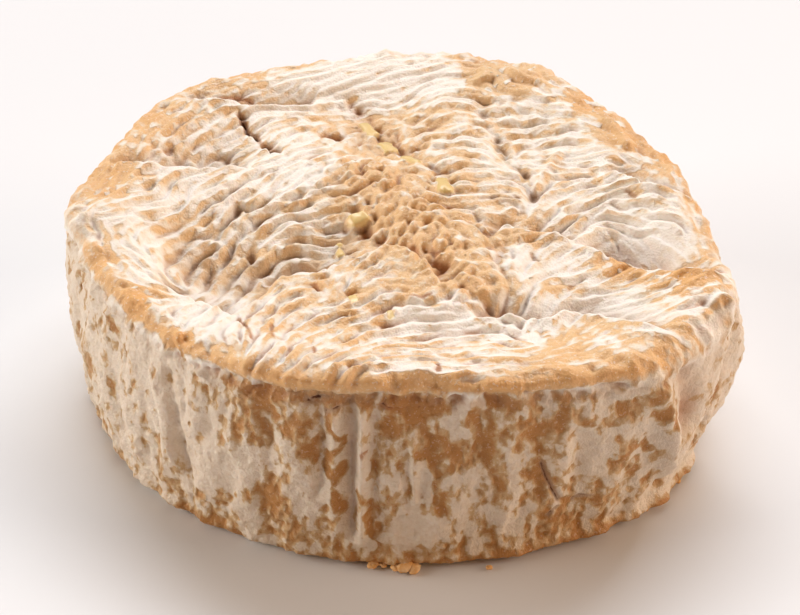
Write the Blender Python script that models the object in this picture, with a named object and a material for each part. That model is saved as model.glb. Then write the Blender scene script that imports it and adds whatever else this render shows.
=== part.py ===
"""A ripened soft cheese: one low round wheel, resting on its flat underside.

The rind has dried and shrunk on the paste, so the top is sunk inside its rim and folded into
lobes that overlap like shingles, with ripples on them. The wall bulges a little and carries
upright furrows. Lengths are in millimetres until the mesh is made, and +Z is up.
"""
import math

import bmesh
import bpy
import numpy as np

METRES = 0.001

# Driving dimensions
RIM_HEIGHT = 33.3          # height of the rim's crest, at the sides
RIM_RISE_BACK = 1.2        # the crest is higher by this at the back and lower by it in front
DISH_DEPTH = 3.6           # how far the top has sunk inside the rim
DISH_EDGE = (0.66, 0.93)   # share of the radius over which it sinks
FOOT_ROUND = 1.3           # rounding of the lower edge
WALL_ARC_RADIUS = 54.0     # radius at which the wall is unrolled to draw its furrows

# Radius of the wall by bearing, in degrees from +X towards +Y, at the rim and at the foot
RIM_RADIUS = {
    -45: 59.6, -28: 58.9, -13: 52.6, 5: 49.7, 35: 48.8, 54: 51.2, 73: 55.4, 90: 54.0, 101: 52.6,
    121: 54.3, 140: 56.0, 160: 53.4, 176: 55.5, 195: 52.9, 215: 51.6, 248: 51.6, 270: 50.2, 292: 53.8,
}
FOOT_RADIUS = {-42: 55.0, -13: 52.0, 45: 52.0, 90: 53.0, 135: 54.5, 180: 53.0, 235: 52.8, 290: 53.4}
# Rounding of the rim and bulge of the wall by bearing
RIM_ROUND = {-60: 2.4, -38: 6.5, -20: 4.0, 0: 3.0, 90: 2.6, 180: 3.2, 215: 3.6, 250: 2.4, 280: 2.0}
WALL_BULGE = {-90: 0.6, -40: 0.8, -18: 2.4, 0: 1.5, 90: 1.0, 160: 1.5, 190: 1.8, 230: 0.8}

# Lobe edges: (points, rise of the edge, depth of the trough on its far side). Each runs left to
# right, seen from the front, and the lobe in front of it overlaps the one behind.
LOBE_EDGES = {
    "left": ([(-52, 16), (-45, 13.5), (-40, 13.5), (-35, 15), (-30, 15.5), (-25, 17.5)], 1.3, 2.6),
    "back_left": ([(-41, 35.5), (-34, 36), (-30, 36), (-26, 35.3), (-18, 37), (-14.5, 40)], 1.2, 2.2),
    "left_shoulder": ([(-55, 3), (-50, -0.5), (-44, -3), (-39, -2)], 0.9, 1.2),
    "right_upper": ([(34, 12.5), (38.5, 8.5), (42, 6), (46, 4.3), (50, 2.2)], 1.2, 2.4),
    "right_lower": ([(27, -8.5), (33, -12.5), (37, -13.7), (41, -15.7), (45, -17.3), (52, -19)], 1.3, 2.6),
    "front_right": ([(9, -25.5), (14, -28), (22, -28), (25.5, -26.3), (30, -26.5), (36, -29.8), (43, -34)], 1.2, 2.4),
    "centre_front": ([(-20, -12), (-14.5, -12.6), (-9.5, -12), (-1, -9), (2.5, -10.7), (5, -14.8), (8.5, -23)], 1.3, 1.8),
    "basin": ([(-46, -11), (-39, -17.5), (-34.5, -20), (-30, -22.5), (-25, -25.8)], 0.5, 1.3),
}
# Grooves: (points, depth, half width)
GROOVES = {
    "left_crack": ([(-28, 35), (-28.5, 31), (-27, 27.5), (-25.3, 26), (-23.5, 22.5), (-21.3, 20), (-17, 15)], 2.0, 1.0),
    "back_gully": ([(-15, 41), (-9.5, 34.5), (-5.5, 29.5), (-2, 23), (1.3, 17), (5.5, 11), (8, 6), (11, 0)], 2.6, 1.9),
    "right_gully": ([(14.5, 41), (15.7, 33), (16, 27), (17, 21.5), (19, 16), (21, 12), (22.3, 6), (21, 1)], 2.4, 1.3),
    "brain_left": ([(-9, 10), (-6.5, 5), (-4.5, 0), (-2.5, -5), (3, -9.5), (6.5, -15), (9, -22)], 2.2, 1.3),
    "brain_right": ([(11, 1), (13, -3), (16, -8), (16.3, -15), (15, -22)], 2.0, 1.4),
    "ledge_top": ([(-4, -8), (-10, -9), (-16, -9.5)], 1.6, 1.6),
}
# Swells: (points, height, half width)
SWELLS = {
    "brain": ([(-6, 14), (0, 8), (4, 1), (8, -6), (11.5, -14), (12, -20)], 1.5, 5.0),
    "left_lobe": ([(-26, 3), (-19, 1), (-12, -2)], 1.2, 4.0),
    "right_column": ([(9, 34), (11, 25), (13, 16), (16, 8)], 1.0, 4.5),
    "right_lobe": ([(27, 4), (34, 5), (41, 2)], 0.9, 4.0),
    "front_lobe": ([(-6, -19), (1, -17), (4, -19)], 0.8, 4.0),
    "white_fold": ([(30, 25), (26.5, 18), (24, 10.5), (22.8, 5)], 1.0, 1.1),
    "back_lump": ([(14.5, 47.5), (15.5, 42)], 2.4, 2.1),
    "back_ridge": ([(18, 44), (22, 43.5), (26, 43.5)], 1.5, 1.3),
    "rim_lozenge": ([(35.5, 27.5), (36.8, 22), (38.5, 17)], 1.7, 1.7),
    "shoulder_puff": ([(49, -27.5), (51, -30.5)], 1.6, 1.7),
    "front_lip": ([(-19, -47), (-8, -48.3), (4, -48.4), (16, -48.8), (28, -47.5), (38, -43)], 0.5, 1.5),
}
# Holes: (x, y, depth, radius)
HOLES = {
    "left_pit": (-11.8, 26.5, 3.0, 1.6),
    "gully_pit": (3.6, 20.6, 2.4, 1.4),
    "crack_pit_1": (-28.5, 30.6, 1.6, 1.0),
    "crack_pit_2": (-25.5, 25.8, 1.6, 1.0),
    "crack_pit_3": (-23.6, 23.0, 1.6, 1.0),
    "shoulder_pit": (47.3, -27.0, 2.6, 1.4),
    "front_pit": (-12.0, -19.2, 1.6, 1.2),
    "furrow_notch": (-6.8, -49.2, 2.0, 1.0),
}
# Folds of the top, lobe by lobe: pitch, height, how parallel from 0 to 1, and the crests that are
# drawn. More folds like them grow between these.
TOP_FOLDS = {
    "left basin": (4.0, 1.30, 0.7, [
        [(-32, -3), (-29, 1), (-26.5, 5.5)],
        [(-28.8, -4), (-26, 2), (-22, 4)],
        [(-28, -7.7), (-25, -3), (-20, 0.5)],
        [(-26.3, -8), (-22, -5), (-17, -1.2)],
        [(-27.5, -14.5), (-23, -12.5), (-18, -9.3)],
        [(-28.5, -19.8), (-26.5, -16), (-23.4, -14.6)],
        [(-26.3, -19.8), (-23.5, -15.5), (-19, -13.5)],
        [(-24.5, -22), (-22.3, -17.3), (-18.5, -15)],
        [(-23.5, -23.3), (-20.5, -19), (-17.5, -16)],
        [(-34.3, -13), (-32.5, -10), (-31, -12), (-32.5, -15.5)],
        [(-18.3, -1.2), (-12.5, -4.4), (-8.7, 2.5)],
        [(-19, -6), (-14.5, -6.6), (-11, -6)],
    ]),
    "left lobe": (3.3, 0.75, 0.85, [
        [(-41, -10), (-36.5, -7.2), (-32, -5.4)],
        [(-40, -7), (-36, -3), (-32.6, -3)],
        [(-45, -0.8), (-41, 0.3), (-37, 4)],
        [(-45.5, 1.5), (-40, 5), (-36.5, 5.8)],
        [(-47.5, 6.5), (-44, 9.2), (-40.5, 11.5)],
        [(-38, 7), (-36.3, 10.3), (-31, 13.3)],
        [(-34, 5.5), (-31, 9.8), (-27.5, 11.5)],
        [(-24, 8), (-19, 11.3), (-14.5, 11)],
        [(-21.8, 2.2), (-15.5, 6.3), (-10, 6.3)],
    ]),
    "far left lobe": (3.2, 0.45, 0.9, [
        [(-44, 22), (-41, 26), (-37, 29)],
        [(-38, 19), (-35, 23.3), (-29.5, 28)],
        [(-34.5, 21), (-31, 25), (-28.5, 26)],
        [(-32, 20), (-29, 22), (-26.5, 23)],
        [(-40, 33), (-35, 34), (-31, 33)],
    ]),
    "back left lobe": (3.3, 0.55, 0.8, [
        [(-33, 39), (-27, 41), (-21, 42.5)],
        [(-24.5, 36), (-19.5, 36), (-14.5, 37)],
        [(-20, 31), (-16, 32.5), (-11.5, 32.3)],
        [(-21, 24.5), (-17, 26.3), (-13.5, 29)],
        [(-18, 21), (-14.5, 22.7), (-11.5, 22.5)],
        [(-17, 16.7), (-13, 18.7), (-9.5, 19.5)],
    ]),
    "back stripes": (3.0, 0.55, 1.0, [
        [(-14, 44.5), (-8, 47.6)],
        [(-12, 42.6), (-3.5, 46)],
        [(-9, 40.6), (0, 44.4)],
        [(-5.5, 39.6), (2, 42.6), (7, 44.3)],
        [(2, 46.5), (8, 47.3), (13, 46.6)],
    ]),
    "gully banks": (3.4, 1.05, 0.45, [
        [(-9.8, 23), (-8, 26), (-5.6, 24.3)],
        [(-5.4, 33), (-2.5, 36), (3, 37)],
        [(-3.5, 27.3), (-1.2, 29.2), (0.7, 26.3)],
        [(-5.3, 21.8), (-3, 22.6), (0.3, 19.3)],
        [(-8.7, 18), (-4.5, 19.8), (0.5, 16.2)],
        [(-12, 13), (-7, 16), (-2.6, 12.5)],
        [(-2, 12), (1, 14.8), (3.8, 14)],
        [(1, 9.8), (3.5, 12), (5.6, 9)],
        [(-8.5, 9), (-5, 12.3), (-2.3, 10.3)],
        [(1.5, 20.5), (3.5, 23.1), (5.4, 20.8), (4.5, 18)],
    ]),
    "right column": (4.0, 1.35, 0.9, [
        [(3, 38.7), (7.5, 39.6), (12, 38.5)],
        [(6, 31.4), (10, 33.9), (14.3, 31.2)],
        [(5.5, 26), (10.5, 29), (15.4, 26.8)],
        [(6.3, 22), (11.5, 24.3), (16.2, 21.3)],
        [(4, 17), (10.5, 21), (17, 18.4)],
        [(10, 16.4), (14, 17.6), (18.4, 13.8)],
        [(8.8, 10.2), (13.5, 12.8), (19.7, 11.7)],
        [(9.5, 6.7), (14.5, 8.3), (19.5, 7)],
        [(11, 3), (15, 3.9), (19, 3)],
        [(11.5, -1), (15.5, -0.6), (19, -1.6)],
    ]),
    "right back column": (3.8, 1.0, 0.6, [
        [(16.6, 31.5), (18.4, 33.4), (20, 32)],
        [(20, 30.3), (22, 31.5), (24.5, 30)],
        [(16.4, 23.6), (20, 27.5), (24.6, 27.2)],
        [(18.3, 20.5), (21, 23.3), (24, 22)],
        [(18.8, 15.5), (21.5, 17.6), (24, 16.6)],
        [(20.6, 11.6), (22.2, 13.5), (24, 13.5)],
    ]),
    "white field": (3.6, 0.12, 0.7, [
        [(17, 37), (23, 37), (28, 35)],
        [(26, 33), (31, 31), (34, 29)],
        [(28, 27), (33, 24), (35, 21)],
    ]),
    "right lobes": (3.1, 0.85, 0.75, [
        [(27.3, 18.5), (30, 18.5), (33.5, 18.2)],
        [(26.3, 11.5), (28.5, 14.2), (34, 14.6)],
        [(23, 6), (26.5, 9.6), (32, 11.4)],
        [(22.3, 1.8), (26, 5), (31, 6), (35.5, 7)],
        [(25.2, -0.2), (27.5, 3.2), (32, 2.8), (33.4, 0.2)],
        [(25, -4), (28.5, -1)],
        [(26.8, -5.8), (29, -2), (33, -0.2), (35.5, 2), (40, 2.2)],
        [(29.3, -5), (33, -3), (36, -1), (42, -1.6)],
    ]),
    "right rim": (3.4, 0.35, 0.9, [
        [(38, 13.5), (43, 13), (47, 12)],
        [(42, 2.5), (46, 0), (49, 0)],
        [(36, -6), (41, -6.5), (46, -6)],
        [(41, -9.5), (46, -10)],
    ]),
    "shaded slopes": (4.6, 0.12, 0.8, [
        [(30, -9), (37, -10)],
        [(30, -22), (38, -24)],
        [(20, -25), (17, -20), (19, -14)],
    ]),
    "brain": (2.5, 1.15, 0.05, [
        [(1.8, -3.2), (2, -1), (4.8, -0.2)],
        [(2.7, -6.3), (3.4, -3.2), (6.2, -1.9)],
        [(3.8, -7.8), (7, -5), (8.9, -4), (9.4, -6.6)],
        [(4.2, -10.8), (6.5, -9.2), (8.2, -6.9)],
        [(0.5, -7.7), (1.4, -5), (2.6, -7.3)],
        [(6.3, -1), (9, -1.4), (12.4, -5.6)],
        [(10.2, -7.4), (13.4, -7.6), (14.8, -10.6)],
        [(11.3, -10.4), (13.8, -11.5), (14.6, -14.8)],
        [(0, 2), (2.3, 4.6), (7.4, 0.9)],
        [(-4, 6.5), (0.3, 7.6), (5, 7.6)],
        [(-8.3, 5.5), (-6, 7.8), (-4.2, 7.6)],
        [(-2.3, -4), (-1, -1)],
        [(-4.2, -2), (-3.2, 0.5)],
    ]),
    "front lobe": (2.9, 0.75, 0.5, [
        [(-5.3, -13), (-2, -11.4), (2, -13), (5, -18.5)],
        [(-10, -19), (-7.5, -15.5), (-5.2, -13.8)],
        [(-9, -20.4), (-6.5, -17.3), (-4.3, -17)],
        [(-5.3, -18.6), (0, -17.8), (4, -18.8)],
        [(-5.4, -22.6), (1, -20.1), (7, -23.2)],
        [(-2.2, -24.4), (1.6, -22.6), (6.5, -24.6)],
    ]),
    "front slope": (2.9, 0.62, 0.85, [
        [(-24.5, -29), (-21.5, -25.5), (-19, -24)],
        [(-20, -22), (-16.5, -20.7), (-14, -20.8)],
        [(-18.4, -28.5), (-14.5, -25), (-9.5, -25)],
        [(-17, -30.5), (-12.2, -26.8), (-7.7, -26.2)],
        [(-15.8, -33), (-10.9, -29), (-6.3, -27.2)],
        [(-14.3, -37), (-9.6, -32.6), (-3, -29.2)],
        [(-7.6, -36.8), (-3.5, -33.4), (0.5, -34.4)],
        [(-13.5, -42), (-8.5, -38.6), (-2, -35.4)],
        [(-12.7, -44.6), (-6.5, -39.6), (-0.8, -37.2)],
        [(-11, -46.5), (-5.2, -41.6), (1, -40)],
        [(-18, -46), (-17, -42), (-14.3, -38)],
        [(-21, -44), (-20.3, -41)],
    ]),
    "front middle": (2.9, 0.60, 1.0, [
        [(5.5, -31.4), (9, -30.5), (13, -30.6)],
        [(5.4, -34), (10, -32.8), (14.5, -33)],
        [(5.8, -37.2), (10.5, -35.4), (15.3, -36)],
        [(5, -41), (10, -39.8), (14, -39.4)],
        [(0, -42), (4, -44.4), (8, -46)],
    ]),
    "front right plateau": (3.8, 0.22, 0.7, [
        [(19, -33), (25, -36.5), (32, -38)],
        [(20, -42), (28, -43), (36, -41)],
        [(30, -33), (36, -36)],
    ]),
    "front right lobes": (3.0, 0.55, 0.7, [
        [(14.8, -7.3), (18.2, -5.2), (24.5, -6)],
        [(17, -8.8), (19.8, -7.4), (23, -7.6)],
        [(25.4, -6.6), (29, -8), (33.3, -12.3)],
        [(24.7, -12.2), (27.2, -11.2), (31.3, -13.8)],
        [(25.7, -18.6), (29.3, -14.6)],
        [(26.8, -20.4), (31.5, -17.2)],
        [(40, -22), (45, -18.8)],
    ]),
    "left slope": (3.6, 0.16, 0.8, [
        [(-46, -12), (-38, -23), (-30, -31)],
        [(-35, -30), (-26, -36)],
    ]),
    "rim": (3.6, 0.22, 0.4, [
        [(-51, -12), (-46, -20)],
        [(-40, -29), (-33, -38)],
        [(-52, 8), (-50, 13)],
        [(42, 22), (46, 14)],
    ]),
}
CREST_GUIDE = 0.40         # share of the pitch over which a drawn crest holds the folds
HEIGHT_VARIETY = 0.28      # how much the folds' height wanders
LEAN = 0.25                # how far the folds lean over towards the front, for each unit of height
# Furrows of the wall: (bearing at the top, bearing at the foot, depth, half width, top, foot)
WALL_FURROWS = [
    (-99.0, -98.0, 2.0, 1.3, 32, 3), (-103.5, -103.5, 0.9, 1.1, 30, 16), (-94.0, -94.5, 0.8, 0.9, 29, 4),
    (-133.0, -127.0, 1.6, 1.8, 28, 6), (-113.0, -111.0, 0.7, 1.4, 27, 12), (-86.0, -87.0, 0.5, 1.2, 27, 7),
    (-151.0, -147.0, 0.6, 1.6, 24, 6), (-38.0, -44.0, 1.2, 2.2, 28, 8), (-26.0, -33.0, 0.9, 1.8, 26, 8),
    (172.0, 176.0, 1.0, 1.8, 28, 8), (142.0, 139.0, 0.9, 1.6, 27, 6), (112.0, 115.0, 1.3, 1.6, 30, 4),
    (84.0, 81.0, 0.8, 1.8, 27, 8), (58.0, 61.0, 1.2, 1.5, 29, 6), (31.0, 28.0, 0.8, 1.7, 26, 6),
    (8.0, 11.0, 1.0, 1.6, 28, 8),
]
# Folds of the wall that stand proud: (bearing at the top, bearing at the foot, height, half width, top, foot)
WALL_FOLDS = [
    (-97.0, -96.5, 0.9, 0.9, 31, 5), (-47.5, -50.0, 1.6, 2.6, 30, 14), (-136.0, -131.0, 0.7, 1.6, 27, 10),
    (-20.0, -27.0, 1.1, 2.2, 28, 8), (118.0, 119.0, 0.7, 1.6, 28, 8), (64.0, 66.0, 0.7, 1.6, 27, 8),
    (3.0, 5.0, 0.8, 1.8, 28, 10), (166.0, 168.0, 0.8, 2.0, 29, 10),
]
WALL_RIPPLE = (84.0, 8.0, 0.22, 0.35)  # direction, pitch, height and how parallel, all round
UNDERCUT = (1.0, 3.6, 1.3)             # below the front rim: depth, distance below the crest, half width
UNDERCUT_BEARINGS = (-125.0, -42.0)
FOOT_LIP = (1.0, 1.6, 1.5)             # rind pressed out at the foot: width, height, half thickness
FOOT_LIP_BEARINGS = (-82.0, -28.0)

# How finely the relief is drawn and the mesh is cut
TOP_SPAN = 124.0
TOP_CELLS = 448
WALL_CELLS = (1152, 128)
WALL_SPAN = 38.0
BOX_CUTS = 127
WALL_CUTS = 35
TRIANGLES = 11400

EDGE_SOFTNESS = 0.40       # blur of the lobes' edges
FOLD_REACH = 3.4           # how far one drawn crest sets the direction of its neighbours
TOP_PITCHES = (2.3, 3.2, 4.5)
WALL_PITCHES = (6.0, 9.0)
FOLD_DIRECTIONS = 12
FOLD_ROUNDS = 6
FOLD_SEED = 11


def smoothstep(low, high, x):
    t = np.clip((x - low) / (high - low), 0.0, 1.0)
    return t * t * (3.0 - 2.0 * t)


def around(table, bearings):
    """Values of a table of bearings, joined by a smooth closed curve."""
    known = sorted((bearing % 360.0, value) for bearing, value in table.items())
    angles = np.array([angle for angle, _ in known])
    values = np.array([value for _, value in known])
    count = len(known)
    wanted = np.mod(bearings, 360.0)
    right = np.searchsorted(angles, wanted, side="right")
    before, after = (right - 1) % count, right % count
    gap = np.mod(angles[after] - angles[before], 360.0)
    t = np.mod(wanted - angles[before], 360.0) / gap

    def slope(i):
        """Rise per degree at a known bearing, flat where it is a peak or a dip."""
        left, ahead = (i - 1) % count, (i + 1) % count
        fall = (values[i] - values[left]) / np.mod(angles[i] - angles[left], 360.0)
        climb = (values[ahead] - values[i]) / np.mod(angles[ahead] - angles[i], 360.0)
        return np.where(fall * climb > 0.0, 2.0 * fall * climb / (fall + climb + 1e-12), 0.0)

    p, q = values[before], values[after]
    m, n = slope(before) * gap, slope(after) * gap
    return (
        p * (1 + 2 * t) * (1 - t) ** 2 + m * t * (1 - t) ** 2
        + q * t ** 2 * (3 - 2 * t) + n * t ** 2 * (t - 1)
    )


def curve_through(points, spacing=0.5):
    """Evenly spaced points on a smooth curve through the given ones."""
    p = np.array(points, float)
    padded = np.vstack([2 * p[0] - p[1], p, 2 * p[-1] - p[-2]])
    run = []
    for a, b, c, d in zip(padded, padded[1:], padded[2:], padded[3:]):
        steps = max(2, int(np.linalg.norm(c - b) / spacing))
        t = np.linspace(0.0, 1.0, steps, endpoint=False)[:, None]
        run.append(0.5 * (2 * b + (c - a) * t + (2 * a - 5 * b + 4 * c - d) * t ** 2
                          + (3 * b - a - 3 * c + d) * t ** 3))
    return np.vstack(run + [p[-1:]])


def beside(curve, x, y, reach):
    """Signed distance from the curve, plus on its right side, how full it is there, and its direction.

    Cells further away than reach get a large distance.
    """
    distance = np.full(x.shape, 1e3)
    fullness = np.zeros(x.shape)
    direction = np.zeros(x.shape)
    low, high = curve.min(0) - reach, curve.max(0) + reach
    near = (x > low[0]) & (x < high[0]) & (y > low[1]) & (y < high[1])
    px, py = x[near], y[near]
    best = np.full(px.shape, 1e6)
    side = np.zeros(px.shape)
    place = np.zeros(px.shape)
    angle = np.zeros(px.shape)
    tangent = np.gradient(curve, axis=0)
    for i, (point, along) in enumerate(zip(curve, tangent)):
        dx, dy = px - point[0], py - point[1]
        squared = dx * dx + dy * dy
        closer = squared < best
        best = np.where(closer, squared, best)
        side = np.where(closer, np.sign(dx * along[1] - dy * along[0]), side)
        place = np.where(closer, i / (len(curve) - 1), place)
        angle = np.where(closer, math.atan2(along[1], along[0]), angle)
    distance[near] = np.sqrt(best) * np.where(side == 0, 1.0, side)
    fullness[near] = smoothstep(0.0, 0.16, place) * smoothstep(1.0, 0.84, place)
    direction[near] = angle
    return distance, fullness, direction


def lobe_edge(points, rise, depth, x, y, trough_width=4.2, edge_width=3.0, wall=0.5):
    """The raised edge of one lobe and the trough behind it."""
    distance, fullness, _ = beside(curve_through(points), x, y, 16.0)
    front = smoothstep(-wall, wall, distance)
    raised = rise * np.exp(-np.maximum(distance, 0.0) / edge_width)
    sunk = depth * np.exp(-np.maximum(-distance, 0.0) / trough_width)
    return fullness * (raised * front - sunk * (1.0 - front))


def swell(points, height, half_width, x, y):
    """A rounded ridge, or a groove where the height is below 0."""
    distance, fullness, _ = beside(curve_through(points), x, y, 3.0 * half_width)
    return height * fullness * np.exp(-(distance / half_width) ** 2)


def blurred(field, cell, radius):
    """The field with anything finer than this radius smoothed away."""
    rows, columns = field.shape
    fy = np.fft.fftfreq(rows, cell)[:, None]
    fx = np.fft.rfftfreq(columns, cell)[None, :]
    soft = np.exp(-2 * (math.pi * radius) ** 2 * (fx ** 2 + fy ** 2))
    return np.fft.irfft2(np.fft.rfft2(field) * soft, s=field.shape)


def noise(shape, cell, size, seed):
    """Smooth noise of unit size, whose bumps are about this wide."""
    field = blurred(np.random.default_rng(seed).standard_normal(shape), cell, size / 5)
    return field / field.std()


def fold_maps(x, y):
    """What the drawn crests ask of each cell.

    Direction, pitch, height and parallelness are blended from the crests near it. The guide is
    1 on a drawn crest and -1 half a pitch beside it, and the hold says where that counts.
    """
    total = np.full(x.shape, 1e-9)
    sums = [np.zeros(x.shape) for _ in range(5)]
    guide, hold = np.zeros(x.shape), np.full(x.shape, 1e-6)
    for pitch, height, parallel, crests in TOP_FOLDS.values():
        for points in crests:
            curve = curve_through(points)
            distance, fullness, angle = beside(curve, x, y, 16.0)
            away = np.abs(distance)
            weight = np.exp(-(away / FOLD_REACH) ** 2 / 2) + 1e-5 * np.exp(-away / 8.0)
            total += weight
            for s, value in zip(sums, (np.cos(2 * angle), np.sin(2 * angle), pitch, height, parallel)):
                s += weight * value
            grip = fullness * np.exp(-(away / (CREST_GUIDE * pitch)) ** 2)
            guide += grip * np.cos(2 * math.pi * away / pitch)
            hold += grip
    cosine, sine, pitch, height, parallel = [s / total for s in sums]
    direction = 0.5 * np.arctan2(sine, cosine)
    return direction, pitch, height, parallel, guide / hold, np.clip(hold, 0.0, 1.0)


def grow_folds(direction, pitch, parallel, pitches, cell, seed, guide=0.0, hold=0.0):
    """A field from -1 in the valleys to 1 on the crests, grown out of noise.

    Each round keeps only waves of the local pitch that run along the local direction, or
    along any direction where parallel is 0, and sharpens them. Crests come out that fork,
    end and wander as the folds of a shrinking rind do, and that pass through the drawn ones.
    """
    rows, columns = direction.shape
    fy = np.fft.fftfreq(rows, cell)[:, None]
    fx = np.fft.rfftfreq(columns, cell)[None, :]
    frequency = np.hypot(fx, fy)
    across = np.arctan2(fy, fx)
    spread = math.radians(19)
    bands, shares = [], []
    step = math.log(pitches[1] / pitches[0])
    for band_pitch in pitches:
        ring = np.exp(-((frequency - 1 / band_pitch) * band_pitch / 0.30) ** 2)
        near_pitch = np.clip(1 - np.abs(np.log(pitch / band_pitch)) / step, 0, 1)
        for k in range(FOLD_DIRECTIONS):
            crest = math.pi * k / FOLD_DIRECTIONS
            off = np.angle(np.exp(2j * (across - crest - math.pi / 2))) / 2
            wedge = np.exp(-(off / spread) ** 2)
            turn = np.angle(np.exp(2j * (direction - crest))) / 2
            aligned = np.exp(-(turn / spread) ** 2)
            bands.append(ring * wedge)
            shares.append(near_pitch * (parallel * aligned + (1 - parallel) * 0.42))
    field = np.random.default_rng(seed).standard_normal((rows, columns))
    for _ in range(FOLD_ROUNDS):
        field = field * (1 - hold) + guide * hold
        spectrum = np.fft.rfft2(field)
        kept = np.zeros_like(field)
        for band, share in zip(bands, shares):
            kept += share * np.fft.irfft2(spectrum * band, s=field.shape)
        power = np.fft.irfft2(np.fft.rfft2(kept ** 2) * np.exp(-(frequency * 9.0) ** 2), s=field.shape)
        field = np.tanh(1.3 * kept / np.sqrt(np.maximum(2 * power, 1e-9)))
    return field / np.tanh(1.3)


def rounded(field):
    """Turns the waves into full round crests with narrow valleys, from 0 to 1."""
    depth = np.arccos(np.clip(field, -1.0, 1.0)) / math.pi
    return 1.0 - depth ** 2.2


def top_relief():
    """Height of the folds above the plain dished top, on a square grid seen from above."""
    cell = TOP_SPAN / TOP_CELLS
    edge = (np.arange(TOP_CELLS) + 0.5) * cell - TOP_SPAN / 2
    x, y = np.meshgrid(edge, edge)
    direction, pitch, height, parallel, guide, hold = fold_maps(x, y)
    direction = direction + math.radians(9) * noise(x.shape, cell, 9.0, FOLD_SEED + 5)
    folds = grow_folds(direction, pitch, parallel, TOP_PITCHES, cell, FOLD_SEED, guide, hold)
    height = height * (1 + HEIGHT_VARIETY * noise(x.shape, cell, 5.0, FOLD_SEED + 6))
    relief = height * 1.25 * (rounded(folds) - 0.62)
    edges = sum(lobe_edge(points, rise, depth, x, y) for points, rise, depth in LOBE_EDGES.values())
    relief += blurred(edges, cell, EDGE_SOFTNESS)
    for points, depth, half_width in GROOVES.values():
        relief += swell(points, -depth, half_width, x, y)
    for points, rise, half_width in SWELLS.values():
        relief += swell(points, rise, half_width, x, y)
    for cx, cy, depth, radius in HOLES.values():
        relief -= depth * np.exp(-((x - cx) ** 2 + (y - cy) ** 2) / radius ** 2)
    return relief


def wall_relief():
    """Height of the folds on the unrolled wall, by bearing and height."""
    columns, rows = WALL_CELLS
    cell = 2 * math.pi * WALL_ARC_RADIUS / columns
    arc = (np.arange(columns) + 0.5) * cell - math.pi * WALL_ARC_RADIUS
    z = (np.arange(rows) + 0.5) * WALL_SPAN / rows
    x, y = np.meshgrid(arc, z)
    direction, pitch, height, parallel = WALL_RIPPLE
    whole = np.ones(x.shape)
    relief = height * grow_folds(
        whole * math.radians(direction), whole * pitch, whole * parallel, WALL_PITCHES, cell, FOLD_SEED + 1
    )
    for sign, folds in ((-1, WALL_FURROWS), (1, WALL_FOLDS)):
        for top_bearing, foot_bearing, depth, half_width, top, foot in folds:
            ends = [(math.radians(b) * WALL_ARC_RADIUS, h) for b, h in ((top_bearing, top), (foot_bearing, foot))]
            relief += swell(ends, sign * depth, half_width, x, y)
    return relief


def read_grid(grid, u, v, wraps):
    """Values between the cells of a grid, at column u and row v, counted in cells."""
    rows, columns = grid.shape
    u, v = u - 0.5, np.clip(v - 0.5, 0.0, rows - 1.001)
    if not wraps:
        u = np.clip(u, 0.0, columns - 1.001)
    u0, v0 = np.floor(u).astype(int), np.floor(v).astype(int)
    fu, fv = u - u0, v - v0
    left, right = u0 % columns, (u0 + 1) % columns
    low = grid[v0, left] * (1 - fu) + grid[v0, right] * fu
    high = grid[v0 + 1, left] * (1 - fu) + grid[v0 + 1, right] * fu
    return low * (1 - fv) + high * fv


def read_top(grid, x, y):
    scale = TOP_CELLS / TOP_SPAN
    return read_grid(grid, (x + TOP_SPAN / 2) * scale, (y + TOP_SPAN / 2) * scale, False)


def read_wall(grid, bearing, z):
    columns, rows = WALL_CELLS
    return read_grid(grid, (bearing / 360.0 + 0.5) * columns, z * rows / WALL_SPAN, True)


def between(bearings, limits, fade=8.0):
    """1 between two bearings, fading to 0 outside them."""
    middle, half = (limits[0] + limits[1]) / 2, (limits[1] - limits[0]) / 2
    off = np.abs(np.mod(bearings - middle + 180.0, 360.0) - 180.0)
    return smoothstep(half + fade, half, off)


def subdivided_box():
    """A cube from -1 to 1, cut into a fine grid on top and underneath, with plain bands round it."""
    mesh = bmesh.new()
    bmesh.ops.create_cube(mesh, size=2.0)
    upright = [e for e in mesh.edges if abs(e.verts[0].co.z - e.verts[1].co.z) > 1.0]
    bmesh.ops.subdivide_edges(mesh, edges=upright, cuts=WALL_CUTS)
    for axis in (0, 1):
        along = [e for e in mesh.edges if abs(e.verts[0].co[axis] - e.verts[1].co[axis]) > 1.0]
        bmesh.ops.subdivide_edges(mesh, edges=along, cuts=BOX_CUTS, use_grid_fill=True)
    return mesh


def disc_of_square(a, b):
    """Radius and bearing, in degrees, of a point of the square pressed into a disc."""
    radius = np.maximum(np.abs(a), np.abs(b))
    safe = np.maximum(radius, 1e-9)
    wide = np.abs(a) >= np.abs(b)
    turn = 45.0 * np.where(wide, b / safe * np.sign(a), -a / safe * np.sign(b))
    start = np.where(wide, np.where(a >= 0, 0.0, 180.0), np.where(b >= 0, 90.0, 270.0))
    return radius, start + turn


def crest_height(bearing):
    return RIM_HEIGHT + RIM_RISE_BACK * np.sin(np.radians(bearing))


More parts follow.
